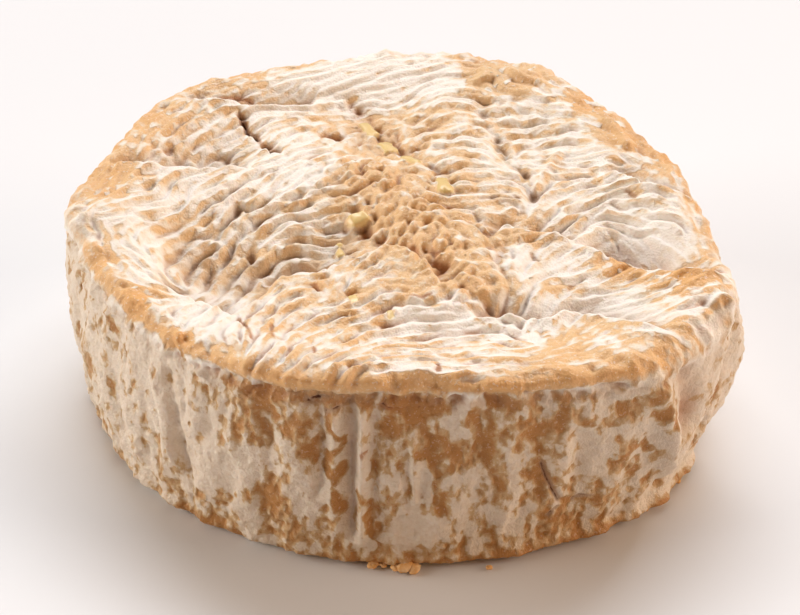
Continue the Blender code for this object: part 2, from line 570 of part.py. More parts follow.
def shape_top(share, bearing, grid):
    """Points of the top: share is 0 at the centre and 1 halfway round the rim."""
    rim, rounding = around(RIM_RADIUS, bearing), around(RIM_ROUND, bearing)
    radius = share * (rim - rounding * (1 - math.sqrt(0.5)))
    inside = rim - rounding
    lean = np.clip((radius - inside) / rounding, 0.0, 0.98)
    height = crest_height(bearing) - rounding * (1 - np.sqrt(1 - lean ** 2))
    height -= DISH_DEPTH * (1 - smoothstep(DISH_EDGE[0], DISH_EDGE[1], radius / rim))
    angle = np.radians(bearing)
    lift = read_top(grid, radius * np.cos(angle), radius * np.sin(angle))
    return radius + lift * lean, height + lift * np.sqrt(1 - lean ** 2), LEAN * lift * (1 - lean)


def shape_wall(share, bearing, top_grid, wall_grid):
    """Points of the wall: share is 0 where the underside begins and 1 halfway round the rim."""
    rim, foot = around(RIM_RADIUS, bearing), around(FOOT_RADIUS, bearing)
    rounding, crest = around(RIM_ROUND, bearing), crest_height(bearing)
    foot_run = FOOT_ROUND * math.pi / 2
    wall_run = crest - rounding - FOOT_ROUND
    rim_run = rounding * math.pi / 4
    run = share * (foot_run + wall_run + rim_run)
    foot_angle = np.clip(run / foot_run, 0.0, 1.0) * math.pi / 2
    up = np.clip((run - foot_run) / wall_run, 0.0, 1.0)
    rim_angle = np.clip((run - foot_run - wall_run) / rounding, 0.0, math.pi / 4)
    radius = foot + (rim - foot) * smoothstep(-0.2, 1.1, up) + around(WALL_BULGE, bearing) * np.sin(math.pi * up)
    radius -= FOOT_ROUND * (1 - np.sin(foot_angle)) + rounding * (1 - np.cos(rim_angle))
    height = FOOT_ROUND * (1 - np.cos(foot_angle)) + wall_run * up + rounding * np.sin(rim_angle)
    depth, below, half = UNDERCUT
    radius -= depth * between(bearing, UNDERCUT_BEARINGS) * np.exp(-((crest - height - below) / half) ** 2)
    width, above, half = FOOT_LIP
    radius += width * between(bearing, FOOT_LIP_BEARINGS) * np.exp(-((height - above) / half) ** 2)
    onto_rim = rim_angle / (math.pi / 4)
    angle = np.radians(bearing)
    from_top = read_top(top_grid, radius * np.cos(angle), radius * np.sin(angle))
    from_wall = read_wall(wall_grid, np.mod(bearing + 180.0, 360.0) - 180.0, height)
    fade_foot = smoothstep(0.0, 1.0, foot_angle / (math.pi / 2))
    lift = from_top * onto_rim + from_wall * (1 - onto_rim) * fade_foot
    return radius + lift * np.cos(rim_angle), height + lift * np.sin(rim_angle)


def shape_wheel(mesh):
    """Moves every vertex of the box to its place on the wheel."""
    places = np.array([vertex.co for vertex in mesh.verts])
    a, b, c = places.T
    share, bearing = disc_of_square(a, b)
    top_grid, wall_grid = top_relief(), wall_relief()
    is_top, is_base = c > 0.999, c < -0.999
    top_radius, top_height, forward = shape_top(share, bearing, top_grid)
    wall_radius, wall_height = shape_wall((c + 1) / 2, bearing, top_grid, wall_grid)
    base_radius = share * (around(FOOT_RADIUS, bearing) - FOOT_ROUND)
    width, above, half = FOOT_LIP
    lip = width * between(bearing, FOOT_LIP_BEARINGS) * math.exp(-(above / half) ** 2)
    base_radius += share * lip
    radius = np.where(is_top, top_radius, np.where(is_base, base_radius, wall_radius))
    height = np.where(is_top, top_height, np.where(is_base, 0.0, wall_height))
    forward = np.where(is_top, forward, 0.0)
    angle = np.radians(bearing)
    moved = np.stack([radius * np.cos(angle), radius * np.sin(angle) - forward, height], axis=1) * METRES
    for vertex, place in zip(mesh.verts, moved):
        vertex.co = place


def rind_material():
    material = bpy.data.materials.new("bloomy_rind")
    material.use_nodes = True
    surface = material.node_tree.nodes["Principled BSDF"]
    surface.inputs["Base Color"].default_value = (0.80, 0.66, 0.48, 1.0)
    surface.inputs["Roughness"].default_value = 0.62
    surface.inputs["Metallic"].default_value = 0.0
    return material


def thinned(wheel):
    """Keeps the folds with fewer triangles, and sets the underside exactly flat."""
    count = sum(len(face.vertices) - 2 for face in wheel.data.polygons)
    thinner = wheel.modifiers.new("thinner", "DECIMATE")
    thinner.ratio = TRIANGLES / count
    graph = bpy.context.evaluated_depsgraph_get()
    wheel.data = bpy.data.meshes.new_from_object(wheel.evaluated_get(graph))
    wheel.modifiers.clear()
    flat_below = 0.06 * METRES
    for vertex in wheel.data.vertices:
        if vertex.co.z < flat_below:
            vertex.co.z = 0.0


def build_wheel():
    mesh = subdivided_box()
    shape_wheel(mesh)
    data = bpy.data.meshes.new("wheel")
    mesh.to_mesh(data)
    mesh.free()
    wheel = bpy.data.objects.new("wheel", data)
    collection = bpy.data.collections.new("ripened_cheese")
    bpy.context.scene.collection.children.link(collection)
    collection.objects.link(wheel)
    bpy.context.view_layer.update()
    thinned(wheel)
    wheel.data.materials.clear()
    wheel.data.materials.append(rind_material())
    wheel.data.shade_smooth()
    wheel.data.set_sharp_from_angle(angle=math.radians(60))


def main():
    for item in list(bpy.data.objects):
        bpy.data.objects.remove(item)
    build_wheel()


main()
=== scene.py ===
"""The looks of a ripened soft cheese: one low round wheel on a pale table.

Lengths are in millimetres, and turned into metres where a mesh or a shader takes them. The table,
the lights and the camera are placed in metres.
"""
import math

import bpy
import numpy as np
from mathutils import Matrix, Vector


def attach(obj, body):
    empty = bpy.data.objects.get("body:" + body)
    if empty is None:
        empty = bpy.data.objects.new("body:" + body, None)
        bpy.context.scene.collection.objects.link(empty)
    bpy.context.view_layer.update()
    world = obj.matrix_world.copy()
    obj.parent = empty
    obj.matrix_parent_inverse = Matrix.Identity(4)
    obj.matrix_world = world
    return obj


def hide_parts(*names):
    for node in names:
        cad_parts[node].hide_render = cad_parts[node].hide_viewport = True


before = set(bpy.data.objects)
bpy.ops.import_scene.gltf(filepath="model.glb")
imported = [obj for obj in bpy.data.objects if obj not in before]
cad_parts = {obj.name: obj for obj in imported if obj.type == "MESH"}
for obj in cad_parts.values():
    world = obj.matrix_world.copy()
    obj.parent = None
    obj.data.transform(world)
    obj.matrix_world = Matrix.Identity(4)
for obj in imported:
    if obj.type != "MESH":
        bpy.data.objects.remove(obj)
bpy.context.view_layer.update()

# The wheel
# One whole soft cheese, ladled into a round mould, salted, and ripened until its rind wrinkled.
# The rind dried and shrank on the soft paste, so the top sank inside its rim and folded into
# lobes that overlap like shingles, and the wall creased from rim to foot.

METRES = 0.001

# Driving dimensions
RIM_HEIGHT = 33.3          # height of the rim's crest, at the sides
RIM_RISE_BACK = 1.2        # the crest is higher by this at the back and lower by it in front
DISH_DEPTH = 3.6           # how far the top has sunk inside the rim
DISH_EDGE = (0.66, 0.93)   # share of the radius over which it sinks
FOOT_ROUND = 1.3           # rounding of the lower edge
WALL_ARC_RADIUS = 54.0     # radius at which the wall is unrolled to draw its furrows

# Radius of the wall by bearing, in degrees from +X towards +Y, at the rim and at the foot
RIM_RADIUS = {
    -45: 59.6, -28: 58.9, -13: 52.6, 5: 49.7, 35: 48.8, 54: 51.2, 73: 55.4, 90: 54.0, 101: 52.6,
    121: 54.3, 140: 56.0, 160: 53.4, 176: 55.5, 195: 52.9, 215: 51.6, 248: 51.6, 270: 50.2, 292: 53.8,
}
FOOT_RADIUS = {-42: 55.0, -13: 52.0, 45: 52.0, 90: 53.0, 135: 54.5, 180: 53.0, 235: 52.8, 290: 53.4}
# Rounding of the rim and bulge of the wall by bearing
RIM_ROUND = {-60: 1.5, -38: 5.5, -20: 3.2, 0: 2.4, 90: 2.0, 180: 2.4, 215: 2.4, 250: 1.6, 280: 1.3}
WALL_BULGE = {-90: 0.6, -40: 0.8, -18: 2.4, 0: 1.5, 90: 1.0, 160: 1.5, 190: 1.8, 230: 0.8}

# The places on the top are given as the camera sees them: each was read as if it lay on a level
# dish of this height, depth and radius. The camera looks down, so what really lies higher by one
# millimetre looks further back by this many.
READ_DISH = (33.5, 3.4, 53.0)
SIGHT_SLOPE = 1.54

# Lobe edges: (points, rise of the edge, depth of the trough on its far side). Each runs left to
# right, seen from the front, and the lobe in front of it overlaps the one behind.
LOBE_EDGES = {
    "left": ([(-51, 15), (-47, 13.8), (-43, 13.2), (-40, 13.8), (-37, 15), (-31, 16), (-25, 17)],
             1.2, 2.6),
    "back_left": ([(-40, 36.5), (-35, 37), (-30, 36.6), (-27, 35.6), (-22, 36.5), (-17, 37.8), (-14, 40)],
                  0.8, 1.8),
    "right_upper": ([(34, 13.5), (38, 11.5), (40, 8.8), (42.3, 6.2), (46.4, 3.8), (50, 1.5)], 1.1, 2.3),
    "right_lower": ([(28.5, -9.6), (32, -10.6), (36.8, -15), (40.5, -19), (43.2, -20.8),
                     (47, -20.7), (52, -22)], 1.2, 2.3),
    "white_field": ([(14.5, -7.5), (17.5, -5.6), (20.5, -6.8), (25, -6.9), (28.5, -9.2)], 0.9, 1.8),
    "front_right": ([(9.5, -27.5), (12.5, -29.6), (17.5, -29.4), (22, -31.4), (25.5, -29.4), (30, -32.2),
                     (34, -35), (38.5, -36.4), (42.5, -38)], 1.2, 2.0),
    "ledge": ([(-22, -16.5), (-18.5, -15.2), (-13.5, -14.7), (-9, -14.6)], 1.0, 2.6),
    "front_lobe": ([(-9.5, -15), (-6.5, -13.9), (-2.5, -11.5), (1.5, -13.2), (4.7, -17.5), (5.8, -21.3),
                    (8, -24.5)], 0.8, 1.3),
    "basin": ([(-40, -19), (-37, -21), (-34, -22.8), (-29, -25.3), (-26, -27.8)], 0.6, 2.4),
}
# Grooves: (points, depth, half width)
GROOVES = {
    "left_crack": ([(-28, 35.5), (-28.8, 31.5), (-27.3, 28.5), (-25.5, 26.5), (-24.3, 23.8),
                    (-22.3, 21.3), (-20, 19), (-17.5, 15.2)], 0.5, 0.8),
    "far_left_hollow": ([(-45, 17.5), (-39, 18.5), (-33, 19.5), (-28, 21)], 1.0, 3.0),
    "back_gully": ([(-14.5, 41), (-10, 38), (-7, 36), (-4.5, 31), (-2, 26), (0.5, 20), (3.5, 16), (6, 12),
                    (7.5, 7), (9.5, 1)], 1.1, 1.4),
    "right_gully": ([(14.8, 39), (15.2, 33), (16.3, 27), (17.3, 22), (18.7, 17), (21.3, 11), (22.2, 4),
                     (20.5, -4)], 1.1, 1.2),
    "brain_left": ([(-8.5, 6), (-6.5, -3), (-4.2, -6.5), (-2.3, -10.5), (3.2, -13.2), (6, -17.5),
                    (8, -23)], 1.1, 1.3),
    "brain_right": ([(9.8, 0), (12, -3.8), (15.3, -8.5), (16.2, -14), (16.2, -20)], 1.1, 1.1),
}
# Swells: (points, height, half width)
SWELLS = {
    "white_fold": ([(28.5, 22), (26.4, 16.5), (24.5, 11.5), (22.7, 8), (21.8, 4)], 1.0, 1.0),
    "back_lump": ([(15.2, 49), (15.8, 42.5)], 1.5, 1.7),
    "back_ridge": ([(18.5, 45), (22, 44.6), (26, 44.6)], 0.7, 1.2),
    "rim_lozenge": ([(35.8, 29.8), (38.2, 24.8), (40.4, 19.0)], 1.6, 1.3),
    "shoulder_puff": ([(47.2, -30.5), (49, -28), (50.8, -31.5)], 1.5, 1.2),
    "middle_bank": ([(15.2, -36), (13.5, -40), (15.5, -44), (19, -47)], 0.5, 1.6),
    "plateau_arc": ([(19.5, -31.8), (22.4, -33), (24.3, -36.2), (26.8, -40), (31, -43), (36, -44.2)],
                    0.5, 1.1),
    "front_lip": ([(-19, -47), (-8, -48.3), (4, -48.4), (16, -48.8), (28, -47.5), (38, -43)], 0.5, 1.5),
}
# Cracks, where the dry rind has torn: (points, depth, half width)
CRACKS = {
    "left": ([(-28.4, 34.0), (-28.8, 31.5), (-27.6, 29.2), (-27.3, 28.0), (-25.5, 26.5), (-24.8, 24.6),
              (-23.6, 22.8), (-22.3, 21.3), (-20.6, 20.2)], 1.1, 0.4),
    "front_slope": ([(-25, -29.8), (-24.7, -32.5), (-23.6, -34.4), (-22.9, -37), (-22.2, -40.7)], 0.7, 0.28),
    "front_slope_short": ([(-19.7, -32.8), (-19.5, -35.5), (-19.4, -37.5), (-19.1, -39.6)], 0.6, 0.28),
    "front_slope_fine": ([(-13.2, -41.5), (-12.6, -43.5), (-12.9, -45.2)], 0.4, 0.25),
    "ledge": ([(-14.4, -21.5), (-13.2, -22.6), (-12.8, -24.6)], 0.5, 0.28),
    "front_lobe": ([(0.5, -26.5), (3.0, -27.2), (5.4, -26.6)], 0.5, 0.28),
    "field": ([(21.0, -13.5), (21.6, -15.2), (22.6, -16.0)], 0.5, 0.3),
    "field_right": ([(37.5, 4.6), (38.5, 3.8), (39.4, 2.2)], 0.4, 0.28),
    "rim": ([(5.2, -46.6), (5.8, -47.8), (5.5, -49.4)], 0.6, 0.3),
    "column_foot": ([(12.5, 1.0), (15.5, 2.2), (18.5, 1.8), (21, 2.6)], 0.5, 0.3),
    "back_rim": ([(-34, 38.6), (-29, 38.4), (-26.0, 37.4)], 0.5, 0.35),
}
# Holes: (x, y, depth, radius). Each is pressed flat: its radius is taken this many times from left
# to right and from front to back.
HOLE_WIDE, HOLE_NARROW = 1.6, 0.6
HOLES = {
    "left_pit": (-11.8, 27.2, 1.6, 1.5),
    "gully_pit": (3.7, 21.2, 1.1, 1.2),
    "crack_pit_1": (-28.5, 31.0, 1.5, 0.8),
    "crack_pit_2": (-25.6, 26.4, 1.5, 0.8),
    "crack_pit_3": (-23.4, 22.6, 1.5, 0.8),
    "crack_pit_4": (-21.2, 20.4, 1.2, 0.8),
    "front_pit": (-12.0, -20.8, 1.3, 0.9),
    "front_lobe_pit": (-7.6, -25.8, 1.0, 0.8),
    "slope_pit": (-2.6, -33.6, 1.0, 0.7),
    "lobe_pit": (-25.3, -9.6, 0.8, 0.9),
    "arch_hollow": (18.4, -34.0, 1.2, 2.0),
    "middle_hollow": (6.5, -44.3, 0.7, 1.4),
    "lip_hollow": (11.0, -47.0, 0.6, 1.2),
    "shoulder_pit": (46.3, -29.5, 1.0, 0.9),
    "furrow_notch": (-6.8, -49.2, 1.4, 0.8),
}
# Folds of the top, lobe by lobe: pitch, height, how parallel from 0 to 1, how far the lobe stands
# above the plain top, and the crests that are drawn. More folds like them grow between these.
TOP_FOLDS = {
    "left basin": (3.8, 1.35, 0.8, 0.8, [
        [(-27.3, -8.2), (-26.4, -6.4), (-24.8, -5), (-23.2, -2.3), (-21.5, -0.6), (-19, 0.5)],
        [(-22.7, -9), (-21.8, -5.9), (-20.5, -4.8), (-19, -3.2), (-16.4, -1.8), (-15, -3.6),
         (-13.6, -5), (-10.5, -3.2)],
        [(-26.4, -0.5), (-25.9, 1.4), (-23.2, 1.8), (-20.9, 4.1), (-18.6, 5.5)],
        [(-30.5, -2.3), (-30, 1.4), (-29.1, 4.5), (-26.8, 6.8)],
        [(-34.3, 1.8), (-34, 5.4), (-31.8, 7.7), (-30, 8.6)],
        [(-19, -8.5), (-17.5, -6.5), (-15.5, -7), (-12, -8)],
        [(-20, 2.5), (-17, 3.5), (-14, 6), (-11, 6.8), (-9.5, 5)],
        [(-17, 0.5), (-15, 1.2), (-13.5, 3), (-11, 2.8)],
    ]),
    "lower basin": (3.6, 1.35, 0.8, -2.2, [
        [(-35, -15.5), (-34.3, -11.8), (-32.7, -10.4), (-30.5, -10), (-28.4, -11)],
        [(-37.7, -11.8), (-36.4, -9.5), (-34.5, -7.7), (-32.7, -6.8), (-30, -7.2)],
        [(-33.6, -19.5), (-32.3, -16.8), (-31.4, -14.8), (-30, -15.9)],
        [(-29.5, -20), (-28.8, -17), (-28.4, -15)],
        [(-27.3, -17), (-26.8, -15), (-25.3, -14.1), (-24.5, -15.6)],
        [(-26.6, -23.5), (-26, -19.5), (-24.5, -17.3), (-22.7, -15), (-20.9, -12.7),
         (-18.6, -11), (-15, -11.6)],
        [(-23.2, -24), (-23, -20.5), (-21.4, -17.8), (-19, -17), (-17.3, -19)],
        [(-20.3, -24), (-19.2, -21), (-17, -19.6)],
    ]),
    "left lobe": (3.1, 0.62, 0.95, 1.6, [
        [(-46.8, -1.8), (-44.5, 1.5), (-42.7, 4), (-41, 6.8)],
        [(-43.2, -2), (-41, 0.7), (-39, 3.2), (-37.2, 5.6)],
        [(-45.4, -4), (-41.8, -3.4), (-39, -0.8), (-36, 3.2)],
        [(-41.4, -10), (-39.5, -7.3), (-37.3, -5), (-33.2, -3)],
        [(-38.5, 8), (-36, 10.5), (-34, 14)],
        [(-35, 8), (-33, 10.8), (-31, 13.8)],
        [(-31, 10), (-28.6, 12.5), (-27, 15)],
        [(-25.5, 9.5), (-23, 12), (-21, 15.3)],
        [(-19, 8.5), (-17, 12), (-15, 13.5)],
    ]),
    "inner left lobe": (3.0, 0.48, 0.9, 1.8, [
        [(-22.5, 27), (-20, 30), (-17.5, 31.7)],
        [(-20, 24.5), (-17.5, 27), (-15, 29.8)],
        [(-18, 20.5), (-15.5, 22.8), (-12.5, 23.4)],
        [(-17, 17), (-14.5, 18.7), (-11, 19)],
        [(-24, 31.5), (-20.5, 34), (-17, 35.8)],
    ]),
    "far left lobe": (2.6, 0.56, 1.0, 0.8, [
        [(-46, 19), (-43, 23), (-40, 27.5), (-37.5, 31)],
        [(-40.3, 18.5), (-37.6, 22.5), (-34.5, 26.5), (-31.5, 30)],
        [(-36.7, 19), (-34.6, 22.5), (-32, 25.5), (-29.5, 27.5)],
        [(-34.4, 16.7), (-32.4, 20), (-29.5, 23.5), (-27, 25.2)],
        [(-29.5, 17.5), (-26.5, 20), (-24, 21.8)],
        [(-39, 30.5), (-36.5, 33), (-33, 35)],
    ]),
    "back left lobe": (2.9, 0.38, 0.8, 0.6, [
        [(-36.5, 38.5), (-31, 40.5), (-26, 43), (-20, 45.5)],
        [(-27.5, 40), (-22, 42), (-18, 44)],
        [(-27, 37.2), (-24, 39.2), (-21, 40)],
        [(-22, 37.8), (-18.5, 39.8), (-16, 41.3)],
    ]),
    "back stripes": (2.6, 0.27, 1.0, 0.8, [
        [(-13.7, 45.5), (-10, 47.8), (-6, 49.8)],
        [(-12, 43.2), (-8, 45.5), (-3, 48.5)],
        [(-10.5, 40.8), (-5, 43.8), (1, 47), (6, 49)],
        [(-8, 39.3), (-3, 41.8), (3, 45), (7, 46.5)],
        [(-3, 39.6), (1, 41.6), (5, 44)],
    ]),
    "gully banks": (3.2, 0.55, 0.5, 0.2, [
        [(-16, 33.6), (-13.3, 34.8), (-10.5, 33.8), (-9.6, 31.1)],
        [(-9.2, 36), (-6.9, 38.2), (-3.7, 38.8), (-1, 38.2), (0.8, 35.6)],
        [(-7.4, 32.5), (-5.1, 33.8), (-2.4, 33.8), (-0.1, 32), (0.8, 29.3)],
        [(-9.4, 21), (-9.2, 26.5), (-7.4, 29.7), (-5.5, 27.5), (-4.6, 24.3)],
        [(-3.3, 26.5), (-2.4, 30), (-0.1, 30.6), (1.3, 27.5), (2.6, 26.1)],
        [(0.8, 20.6), (1.3, 23.8), (3.8, 26.5), (5.4, 24.7), (5.8, 22.5)],
        [(-5.5, 19.3), (-4.2, 23.6), (-2.8, 23.6), (-1, 20.2), (0.8, 17.5)],
        [(-15.5, 29), (-13.5, 31), (-10.5, 30.5)],
    ]),
    "right column": (4.5, 0.80, 0.8, 2.6, [
        [(4, 37.9), (5.8, 39.3), (8.5, 40), (11.3, 38.8), (13.1, 37)],
        [(3.5, 33.8), (6.7, 35.2), (9.5, 36.1), (12.2, 34.7), (14, 33.4)],
        [(4, 29.3), (6.7, 30.4), (9.9, 29.7), (12.2, 30.4), (14.9, 29.5)],
        [(3.5, 24.7), (5.4, 26.5), (8.5, 25.2), (11.3, 26.3), (14.9, 25.2), (16.3, 22.9)],
        [(4, 20.2), (6.3, 22), (9.5, 22.5), (12.2, 22), (15.8, 20.2), (17.6, 17.5)],
        [(4.9, 15.6), (7.6, 17.5), (11.3, 18.4), (14.9, 17.5), (18.1, 15.6)],
        [(6.5, 10.9), (8.7, 12), (11.5, 13.4), (15.1, 14.2), (19.6, 14), (21, 11.8)],
        [(6.9, 7.8), (10.5, 8.8), (14.2, 8.8), (17.4, 10.4), (20.1, 9.1), (21.7, 6.8)],
        [(9.6, 3.2), (12.4, 3.4), (15.1, 5), (17.4, 6.3), (20.5, 5.5), (21.5, 3.6)],
        [(11.9, -0.5), (15.1, 0.4), (17.8, 0.8), (20.5, 0)],
        [(12.4, -2.8), (14.2, -2.4), (17.8, -3.4), (20.5, -2.4)],
    ]),
    "right back column": (4.1, 0.66, 0.6, 1.2, [
        [(15.4, 34.7), (17.6, 35.6), (19.9, 36.1), (21.7, 34.3)],
        [(15.4, 31.3), (17.2, 32), (19.5, 33.2), (21.7, 31.7), (24.5, 32)],
        [(15.8, 25.8), (17.6, 28.4), (20.4, 29.7), (22.6, 28.8), (25.8, 29.3)],
        [(18.2, 20.4), (19.5, 24.1), (21.7, 24.9), (24.9, 25.2)],
        [(19, 16.5), (20.4, 18.6), (23.1, 19.5), (24.9, 20.4)],
        [(19.9, 12.5), (21.7, 14.4), (23.5, 15.3)],
    ]),
    "white field": (2.7, 0.55, 0.95, 1.4, [
        [(17.2, -27.3), (19, -21.8), (21.6, -16.8), (23.5, -12.7)],
        [(21.3, -24.5), (24, -19.8), (26.7, -16.4)],
        [(24.5, -26), (28, -21.5), (31, -18)],
        [(18, -14), (20.5, -10.8), (24, -9.4)],
        [(18, 42.5), (22, 40), (27, 37.5)],
        [(27, 36), (30, 32), (33, 27)],
    ]),
    "right lobes": (2.8, 0.85, 0.85, 2.0, [
        [(21.8, -0.7), (23.2, 2.5), (25, 5.2), (26.8, 8.8)],
        [(25, 8.4), (26.8, 10.6), (30, 10.8), (33.2, 12), (35.5, 13)],
        [(24.1, 0.2), (26.4, 3.8), (30, 6.5), (34.1, 8.4), (37.3, 9.3), (39.5, 8.8)],
        [(25.9, -0.8), (28.6, 3), (32.3, 5.2), (35.5, 6.3), (39.5, 6.2)],
        [(24.5, -3.5), (26.8, -1.6), (30, 1.2), (33.2, 3.4), (35.9, 4.3), (40.5, 3.6)],
        [(27.3, -4.4), (29.1, -2.7), (30.4, 0), (33.2, 1.8), (36, 2.2), (39.5, 0.6), (42.3, 0)],
        [(29.5, -5.3), (31.8, -4.5), (33.3, -2.3), (34.6, 0.2)],
        [(36.4, -1.6), (38.5, -2.6), (41, -3), (43.2, -4)],
        [(27, 15), (29, 13.5), (31.5, 14.6), (34, 15.5)],
        [(27.5, 19.5), (29.5, 18.2), (32, 18.6)],
    ]),
    "right rim": (3.2, 0.25, 0.9, 0.3, [
        [(31, 36), (34, 33.5), (36, 31)],
        [(41.5, 14.5), (44, 11), (46, 7.5)],
        [(40, 12), (42.5, 10.5), (45.5, 10)],
    ]),
    "shaded slopes": (3.2, 0.22, 0.9, -1.4, [
        [(33, -7.5), (36, -9), (38, -13)],
        [(40, -6), (41.5, -11), (42.5, -16)],
        [(30, -29), (34, -30.5), (38, -33)],
        [(-38, 17.5), (-34, 17), (-30, 17.5)],
    ]),
    "brain": (3.4, 0.92, 0.2, 2.8, [
        [(-8.7, 16.5), (-6.9, 19.3), (-2.8, 20.2), (-0.5, 18.4), (0.8, 16.1)],
        [(-13.5, 11.4), (-11.7, 15.9), (-9, 15.9), (-8.1, 13.2)],
        [(-2.2, 13.2), (-0.8, 15), (1.9, 15), (2.8, 16.6), (3.7, 15), (4.6, 12.3)],
        [(-9.9, 10.5), (-7.2, 12.3), (-4.9, 13.4), (-2.6, 13), (-1.5, 9.8)],
        [(1, 11.2), (1.9, 13), (3.3, 12.6), (4.2, 10.4), (5.9, 8.4)],
        [(-8.1, 5), (-6.7, 7.7), (-4.5, 8.2), (-2.9, 5), (-2.7, 1.5)],
        [(-2, 6), (-0.4, 8), (1, 5.6), (-0.4, 3)],
        [(2, 7.4), (3.8, 7.2), (5.5, 5.8)],
        [(0.4, 2), (2, 3.6), (4.2, 3.4), (5.6, 1.6)],
        [(1.7, -5.5), (2.4, -2.7), (4.2, -0.7), (6.5, -0.2), (7.4, -1.8)],
        [(2.8, -8), (3.7, -5.5), (5.2, -3.2), (6.4, -4.8)],
        [(6.5, -9.1), (7.4, -6.4), (8.7, -5.5), (9.4, -8.2), (7.8, -11.8), (5.7, -13.8)],
        [(3.2, -9.6), (4.2, -11.6), (5, -12.6)],
        [(8.4, -2.4), (10.1, -2.9), (11.5, -5.2), (13.3, -7.3), (14.6, -9.6)],
        [(10.6, -7.8), (12.6, -9.8), (14.6, -12.4)],
        [(-1.6, -7), (-1, -3.6), (-0.2, -1.4)],
        [(-4, -4), (-3.1, -0.8), (-1.5, 1.4)],
        [(0.3, -9), (0.7, -6), (1.3, -4)],
        [(6.5, -19), (7.8, -16), (9.6, -13.4)],
        [(9.2, -17), (11.3, -15), (12.8, -17.4)],
        [(11.8, -12.2), (13.6, -14.6), (14.8, -18)],
        [(7, -22), (8.2, -19.6), (10.4, -19), (12.4, -20.6)],
    ]),
    "inner ledge": (3.2, 0.8, 0.3, -1.8, [
        [(-9, -9.1), (-7.2, -7.7), (-4.9, -6.3), (-3.4, -8.6)],
        [(-9.6, -11.6), (-7, -11.2), (-4.6, -10.8)],
    ]),
    "front lobe": (3.2, 0.90, 0.6, 2.0, [
        [(-10.2, -23), (-9.3, -19.8), (-7.5, -17.5), (-5.6, -16)],
        [(-8, -23.2), (-7, -20.9), (-5.4, -18.8)],
        [(-4.7, -24.4), (-4.5, -21.4), (-2.5, -20.4), (0.7, -21.1), (3.9, -20.5)],
        [(-5.6, -28), (-3.8, -25.3), (-1.1, -24), (1.6, -25.2), (4.4, -24.8), (7.1, -25.6)],
        [(-3.5, -17.6), (-1.5, -15.4), (1, -16), (2.6, -18)],
    ]),
    "front ledge": (3.0, 0.70, 0.5, 1.4, [
        [(-21.1, -25.7), (-19.7, -23.9), (-17, -22.2), (-14.2, -22.4), (-13, -23.8)],
        [(-17.9, -18.6), (-15.6, -19), (-14, -21)],
        [(-18.4, -26.4), (-16.5, -25.4), (-12.9, -26.2), (-10.6, -26.2)],
        [(-14.5, -17), (-12.5, -18.4), (-10.8, -17.2)],
        [(-14.8, -29), (-12.9, -27.8), (-10.6, -28), (-7.5, -29.2)],
    ]),
    "front slope": (2.4, 0.85, 1.0, 0.8, [
        [(-25.2, -31), (-24.5, -28), (-23.2, -26)],
        [(-23.2, -35.3), (-22.2, -31), (-20.6, -27.6), (-18.8, -25.9)],
        [(-19.9, -38), (-18.9, -34), (-17.2, -30.4), (-15.4, -28)],
        [(-17.5, -40.7), (-16.3, -36.2), (-14.3, -32.5), (-11.5, -30)],
        [(-15.4, -42.8), (-14.2, -38), (-12.2, -34.6), (-8.4, -32.1), (-5, -30.9)],
        [(-13, -42.5), (-11.8, -39), (-9.6, -36), (-6.5, -34)],
        [(-9.8, -42), (-8.4, -38.8), (-6.2, -36.2), (-3.8, -34)],
        [(-8.2, -44.6), (-6.3, -40.8), (-4.6, -37.7), (-2.3, -36), (0, -35.8)],
        [(-6.5, -45.9), (-3.8, -42.2), (-1.4, -40), (0.9, -39.2)],
        [(-19.5, -46), (-18.2, -43.5), (-17, -41.5)],
        [(-17.6, -48), (-16.2, -44.8), (-14.8, -42)],
        [(-15, -48.7), (-13.4, -45.7), (-11.3, -42.3)],
        [(-12.6, -48.7), (-10.5, -45.9), (-9, -44.2)],
        [(-9.8, -48.7), (-7.4, -46.5), (-4.5, -44.6), (-1.5, -43.5)],
    ]),
    "front middle": (2.7, 0.70, 1.0, 0.3, [
        [(5, -33.8), (8, -32.7), (10.8, -32.2), (13.5, -32.6)],
        [(4.5, -37.2), (8.5, -36.6), (13, -36.6)],
        [(3.5, -41.5), (7, -40.3), (11, -40), (14, -41)],
        [(8, -43.2), (11.3, -42.6), (15, -43.4)],
        [(1.5, -37.5), (1.4, -40), (2.8, -43)],
        [(7.5, -46.4), (10.8, -45.2), (14, -45.8), (17.5, -46.8)],
        [(0.5, -47), (4, -47.4), (7, -48.6)],
    ]),
    "front right plateau": (3.6, 0.22, 0.7, 0.5, [
        [(20, -46), (23, -42), (22.5, -38)],
        [(29, -39), (32, -37), (35, -37.4)],
        [(24, -45.5), (29, -44.6), (34, -45.4)],
        [(36, -41), (38.5, -39.5), (41, -39.8)],
    ]),
    "front right lobes": (2.8, 0.60, 0.9, 0.6, [
        [(36.7, -27.7), (40.4, -25.5), (44.9, -22.9), (49, -21.9)],
        [(38.5, -29.5), (42.2, -27.9), (45.8, -25.4), (49, -23.6)],
        [(42.6, -32.7), (44.9, -30.2), (47.2, -27.5), (49, -25.6)],
        [(29, -24), (32, -21.8), (35, -21)],
        [(29.5, -19), (32, -17.6), (34, -16)],
        [(36, -17.5), (37.5, -20), (38.5, -23)],
    ]),
    "left slope": (2.5, 0.66, 0.9, -0.3, [
        [(-45.5, -10.5), (-42, -16), (-37, -21)],
        [(-45, -18), (-40, -24), (-35, -27)],
        [(-36, -29.5), (-33, -27.5), (-30.5, -25.6)],
        [(-34, -32.5), (-31.5, -29), (-29.5, -26.5)],
        [(-31, -36), (-29, -31.5), (-27.5, -29)],
        [(-29, -39.5), (-27, -35), (-25.7, -32)],
    ]),
    "rim": (2.8, 0.24, 0.4, 0.0, [
        [(-50, -14), (-46, -22), (-42, -28)],
        [(-38, -33), (-32, -39), (-26, -44)],
